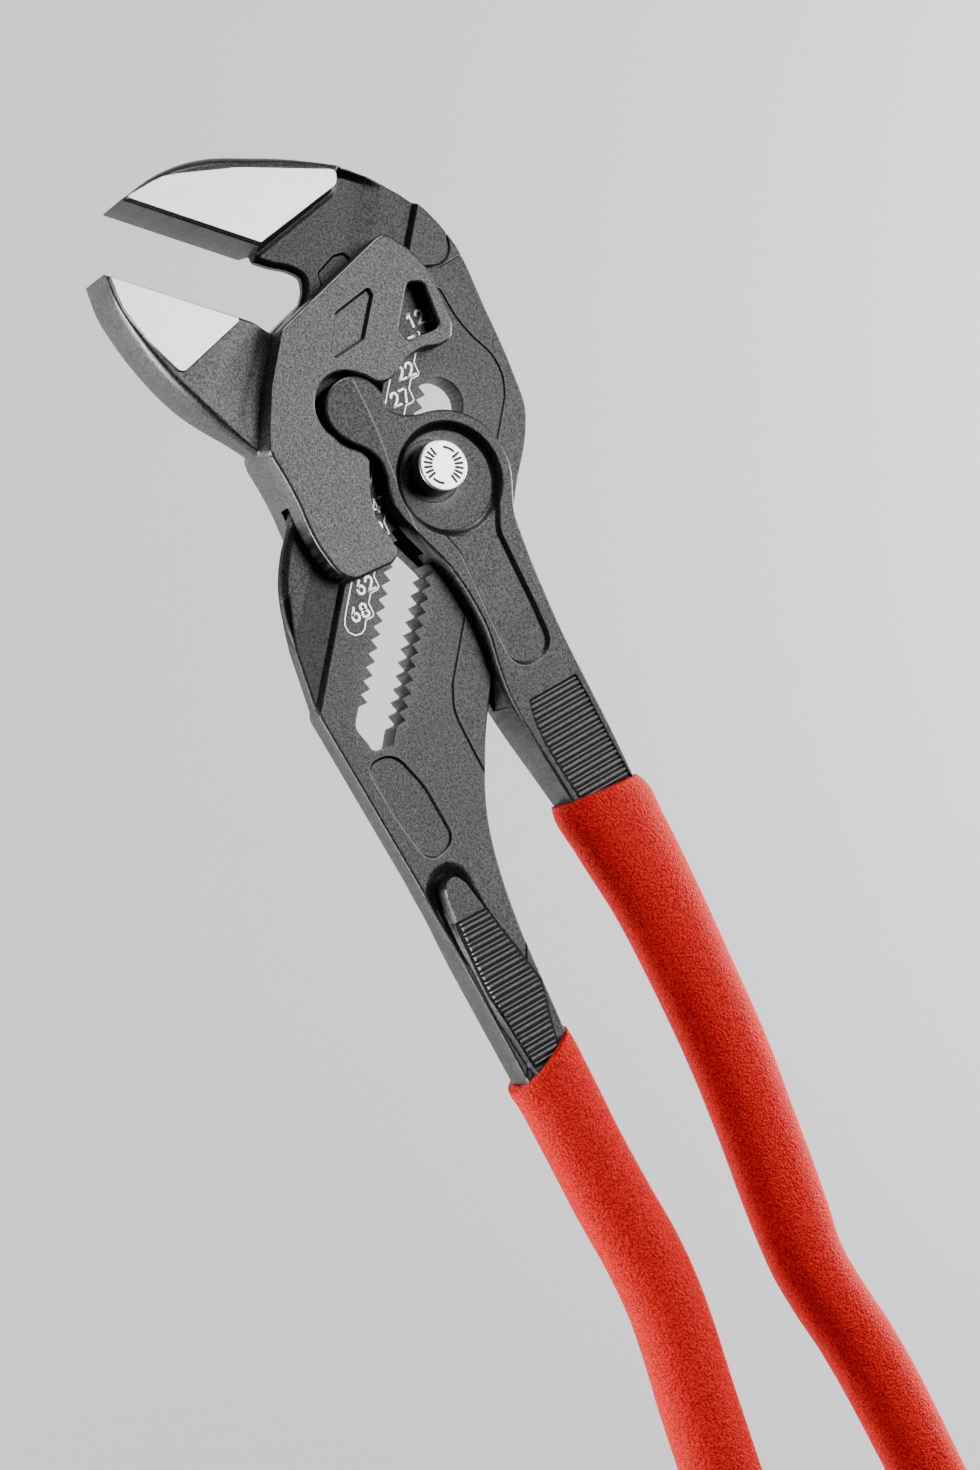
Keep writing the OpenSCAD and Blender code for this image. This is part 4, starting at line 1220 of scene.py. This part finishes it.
def crossSections(line, radius):
    # middles and half widths along a painted stroke, with round ends where it is open
    pts = np.array(line, float)
    closed = np.linalg.norm(pts[0] - pts[-1]) < 1e-6
    pts = pts[:-1] if closed else pts
    ahead, normal, lean = lineNormals(pts, closed)
    half = radius / np.clip(lean, 0.75, 1)
    corners = [pts[k] for k in range(len(pts)) if lean[k] < 0.9]
    if not closed:
        caps = ((1.0, 0.15), (0.87, 0.5), (0.5, 0.87))
        pts = np.vstack([[pts[0] - ahead[0] * radius * a for a, _ in caps], pts,
                         [pts[-1] + ahead[-1] * radius * a for a, _ in caps[::-1]]])
        normal = np.vstack([np.repeat(normal[:1], 3, 0), normal, np.repeat(normal[-1:], 3, 0)])
        half = np.concatenate([[radius * b for _, b in caps], half, [radius * b for _, b in caps[::-1]]])
    return pts, normal, half, closed, corners


def strokePiece(name, lines, thick, material):
    # painted strokes: thin flat bands with round ends, and a disc at each corner
    verts, faces, sides = [], [], 12
    for radius, level, line in lines:
        pts, normal, half, closed, corners = crossSections(line, radius)
        count, base = len(pts), len(verts)
        for side, z in ((1, level + thick), (-1, level + thick), (-1, level), (1, level)):
            verts += [(*(p + n * h * side), z) for p, n, h in zip(pts, normal, half)]
        for i in range(count if closed else count - 1):
            j = (i + 1) % count
            for row in range(4):
                a, b = base + row * count, base + (row + 1) % 4 * count
                faces.append((a + i, a + j, b + j, b + i))
        if not closed:
            faces += [tuple(base + row * count + i for row in range(4)) for i in (0, count - 1)]
        for place in corners:
            base, ring = len(verts), circleLine(place, radius, sides)
            verts += [(x, y, z) for z in (level + thick, level) for x, y in ring]
            faces += [tuple(range(base, base + sides)), tuple(range(base + sides, base + 2 * sides))]
            faces += [(a, b, b + sides, a + sides) for a, b in
                      ((base + k, base + (k + 1) % sides) for k in range(sides))]
    mesh = bpy.data.meshes.new(name)
    mesh.from_pydata((np.array(verts) * mm).tolist(), [], faces)
    faceOutward(mesh)
    mesh.materials.append(material)
    return addObject(name, mesh)


def numberStrokes(value, centre):
    # the numbers read up the web, their tops to the left
    right, up = np.array([0, 1]), np.array([-1, 0])
    wide, tall, gap = scaleSet["width"], scaleSet["height"], scaleSet["gap"]
    digits, lines = str(value), []
    total = len(digits) * wide + (len(digits) - 1) * gap
    for k, digit in enumerate(digits):
        corner = centre - right * (total / 2 - k * (wide + gap)) - up * tall / 2
        for stroke in digitStrokes[digit]:
            lines.append([corner + right * x * wide + up * y * tall for x, y in stroke])
    return lines


def makeScale():
    web = treeOf(fixedSteel)
    start, stop = (np.array(placeOn(web, *imagePoints[name])[:2]) / mm
                   for name in ("scaleFirst", "scaleLast"))
    level = fixedLever["field"] + scaleSet["lift"]
    lines, steps = [], len(scaleSet["values"]) - 1
    places = [start + (stop - start) * k / steps for k in range(steps + 1)]
    for value, centre in zip(scaleSet["values"], places):
        lines += [(scaleSet["stroke"], level, line) for line in numberStrokes(value, centre)]
    # the line has a tab at each number, and is open above the first
    s = slotFrame(np.array(places))[0]
    corners = [(s[0] + scaleSet["start"][0], scaleSet["start"][1])]
    corners += [(place + shift, w) for place in s[1:] for shift, w in scaleSet["tab"]]
    corners += [(s[-1] + shift, w) for shift, w in scaleSet["foot"]]
    path = rounded([(s[0] + scaleSet["open"], scaleSet["lineW"], 0)]
                   + [(x, y, scaleSet["turn"]) for x, y in corners], 30)
    path = resample(inSlot(path[1:] + path[:1]), 1.2, False)
    lines.append((scaleSet["outline"], level, list(path)))
    piece = strokePiece("scaleMarks", lines, scaleSet["thick"], plain["markWhite"])
    # the paint follows the face of the web
    spots = np.array([vertex.co[:] for vertex in piece.data.vertices])
    spots[:, 2] += (fixedTop.heights(spots[:, :2] / mm)[0] - fixedLever["field"]) * mm
    piece.data.vertices.foreach_set("co", spots.ravel())
    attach(piece, "fixed_side")
    print("scale", [round(float(v), 2) for v in (*start, *stop)], len(piece.data.polygons), "faces")
    return places


scalePlaces = makeScale()

# Push button: a turned cap with a dark flank, and plain dark marks on its white face
pushButton = {"radius": 4.85, "top": 16.8, "low": 11.9, "rim": 0.42, "footStep": 0.12, "innerR": 3.9,
              "under": 15.4, "stem": (0.8, 6.6), "around": 72, "mark": 0.25, "markR": 3.35, "markLift": 0.005,
              "markThick": 0.02, "arcs": ((118, 152), (298, 332)), "tick": (2.45, 3.8), "ticks": 7,
              "tickStep": 15}


def turnedRings(profile, around):
    turns = [2 * math.pi * k / around for k in range(around)]
    return [np.array([(r * math.cos(a), r * math.sin(a), z) for a in turns]) for r, z in profile]


def makeButton():
    b = pushButton
    r, top, low, rim = b["radius"], b["top"], b["low"], b["rim"]
    footR = r - b["footStep"]
    profile = [(0.4, top), (2.0, top), (r - rim - 0.1, top)]
    profile += [(r - rim + rim * math.sin(a), top - rim + rim * math.cos(a))
                for a in np.linspace(0, math.pi / 2, 7)]
    profile += [(r, top - 1.2), (r, low + 0.7), (footR, low + 0.5), (footR, low), (b["innerR"], low),
                (b["innerR"], b["under"]), (b["stem"][0], b["under"]), b["stem"]]
    cap = loftPiece("buttonCap", turnedRings(profile, b["around"]), plain["buttonWhite"])
    cap.data.materials.append(plain["buttonFlank"])
    cap.data.materials.append(polishedSteel)
    for face in cap.data.polygons:           # white face, ground rim, dark flank
        x, y, z = face.center / mm
        far = math.hypot(x, y)
        face.material_index = 1 if z < top - rim * 0.9 else (2 if far > r - rim * 1.15 else 0)
    cap.data.set_sharp_from_angle(angle=math.radians(50))
    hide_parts("push_button")
    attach(cap, "button")
    # two short arcs, and two fans of ticks between them
    strokes = [arc((0, 0), b["markR"], low, high, 12) for low, high in b["arcs"]]
    for base in (0, 180):
        for k in range(b["ticks"]):
            a = math.radians(base + b["tickStep"] * (k + 1))
            strokes.append([(r * math.cos(a), r * math.sin(a)) for r in b["tick"]])
    lines = [(b["mark"], top + b["markLift"], line) for line in strokes]
    marks = strokePiece("buttonMarks", lines, b["markThick"], plain["markDark"])
    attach(marks, "button")


makeButton()

# Spring under the button: a coil that stands on its seat
springCoil = {"radius": 1.4, "wire": 0.2, "turns": 7, "low": 4.7, "high": 15.15, "steps": 24, "sides": 8}


def makeCoil():
    c = springCoil
    rise = (c["high"] - c["low"]) / (2 * math.pi * c["turns"])
    rings = []
    for i in range(c["turns"] * c["steps"] + 1):
        a = 2 * math.pi * i / c["steps"]
        out = np.array([math.cos(a), math.sin(a), 0])
        run = np.array([-c["radius"] * math.sin(a), c["radius"] * math.cos(a), rise])
        side = np.cross(run / np.linalg.norm(run), out)
        centre = out * c["radius"] + np.array([0, 0, c["low"] + rise * a])
        rings.append(np.array([centre + c["wire"] * (math.cos(t) * out + math.sin(t) * side)
                               for t in np.arange(c["sides"]) * 2 * math.pi / c["sides"]]))
    coil = loftPiece("springCoil", rings, plain["springSteel"])
    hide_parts("button_spring")
    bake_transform(coil)


makeCoil()
print("button and spring made")

# Carried-over solids get their finish on their own slots
for node, material in (("pivot_bolt", forgedSteel), ("bolt_cover", plain["boltSteel"]),
                       ("retaining_ring", plain["springSteel"]), ("spring_seat", plain["springSteel"])):
    slots = frame["nodes"][node].data.materials
    for place in range(len(slots)):
        slots[place] = material

# Floor and lights
floorSet = {"level": -400.0, "reach": 3000.0}
worldSet = {"colour": (0.8, 0.82, 0.85, 1), "strength": 0.04}


def makeFloor():
    mesh = bpy.data.meshes.new("studioFloor")
    reach, level = floorSet["reach"] * mm, floorSet["level"] * mm
    mesh.from_pydata([(-reach, -reach, level), (reach, -reach, level), (reach, reach, level),
                      (-reach, reach, level)], [], [(0, 1, 2, 3)])
    mesh.materials.append(plain["floorPale"])
    floor = addObject("studioFloor", mesh)


lights = [
    {"name": "keyLight", "at": (0.05, 0.54, 0.95), "aim": (0.02, 0.0, 0), "size": 0.62, "power": 5.6},
    {"name": "rightLight", "at": (0.15, 0.98, 0.42), "aim": (0.10, 0.0, 0), "size": 0.40, "power": 5},
    {"name": "leftLight", "at": (0.05, -0.95, -0.03), "aim": (0.05, 0.0, 0), "size": 0.35, "power": 0.3},
    {"name": "topLight", "at": (-0.85, 0.30, 0.62), "aim": (0.0, 0.0, 0), "size": 0.30, "power": 7},
    {"name": "floorRight", "at": (0.30, 0.95, -0.12), "aim": (0.10, 0.2, -0.4), "size": 0.4, "power": 14},
    {"name": "floorLeft", "at": (0.10, -0.75, -0.15), "aim": (0.08, 0.2, -0.4), "size": 0.4, "power": 9},
]


def makeLights():
    for entry in lights:
        data = bpy.data.lights.new(entry["name"], "AREA")
        data.energy, data.shape, data.size = entry["power"], "SQUARE", entry["size"]
        lamp = addObject(entry["name"], data)
        lamp.location = entry["at"]
        aim = Vector(entry["aim"]) - Vector(entry["at"])
        lamp.rotation_euler = aim.to_track_quat("-Z", "Y").to_euler()
    world = bpy.data.worlds.new("studio")
    world.use_nodes = True
    background = world.node_tree.nodes["Background"]
    background.inputs["Color"].default_value = worldSet["colour"]
    background.inputs["Strength"].default_value = worldSet["strength"]
    scene.world = world


makeFloor()
makeLights()
print("floor and lights made")


def shown(pieces, height=None):
    # where the finished vertices of some pieces show, those inside the picture
    spots = []
    for piece in pieces:
        for vertex in piece.data.vertices:
            if height is None or abs(vertex.co.z - height) < 1e-5:
                x, y = imagePlace(vertex.co)
                if 0 <= x <= picture["width"] and 0 <= y <= picture["height"]:
                    spots.append((x, y))
    return np.array(spots)


def writePoints():
    objects = scene.objects
    steel, jaw = shown([fixedSteel]), shown([jawSteel])
    button = shown([objects["buttonCap"]], pushButton["top"] * mm)
    everything = np.vstack([steel, jaw, shown([movingSteel])])
    places = {
        "leftEdge": (everything[:, 0].min(), None), "topEdge": (None, everything[:, 1].min()),
        "upperTip": steel[steel[:, 0].argmin()], "lowerTip": jaw[jaw[:, 0].argmin()],
        "buttonMiddle": (button.min(0) + button.max(0)) / 2,
        "scaleFirst": imagePlace((*scalePlaces[0] * mm, fixedLever["field"] * mm)),
        "scaleLast": imagePlace((*scalePlaces[-1] * mm, fixedLever["field"] * mm)),
        "fixedGripLeft": (shown([objects["fixedGripSleeve"]])[:, 0].min(), None),
        "movingGripLeft": (shown([objects["movingGripSleeve"]])[:, 0].min(), None),
    }
    away = {name: [None if want is None else round(float(got) - want, 1)
                   for want, got in zip(point, places[name])] for name, point in imagePoints.items()}
    print("points", away)


bpy.context.view_layer.update()
writePoints()
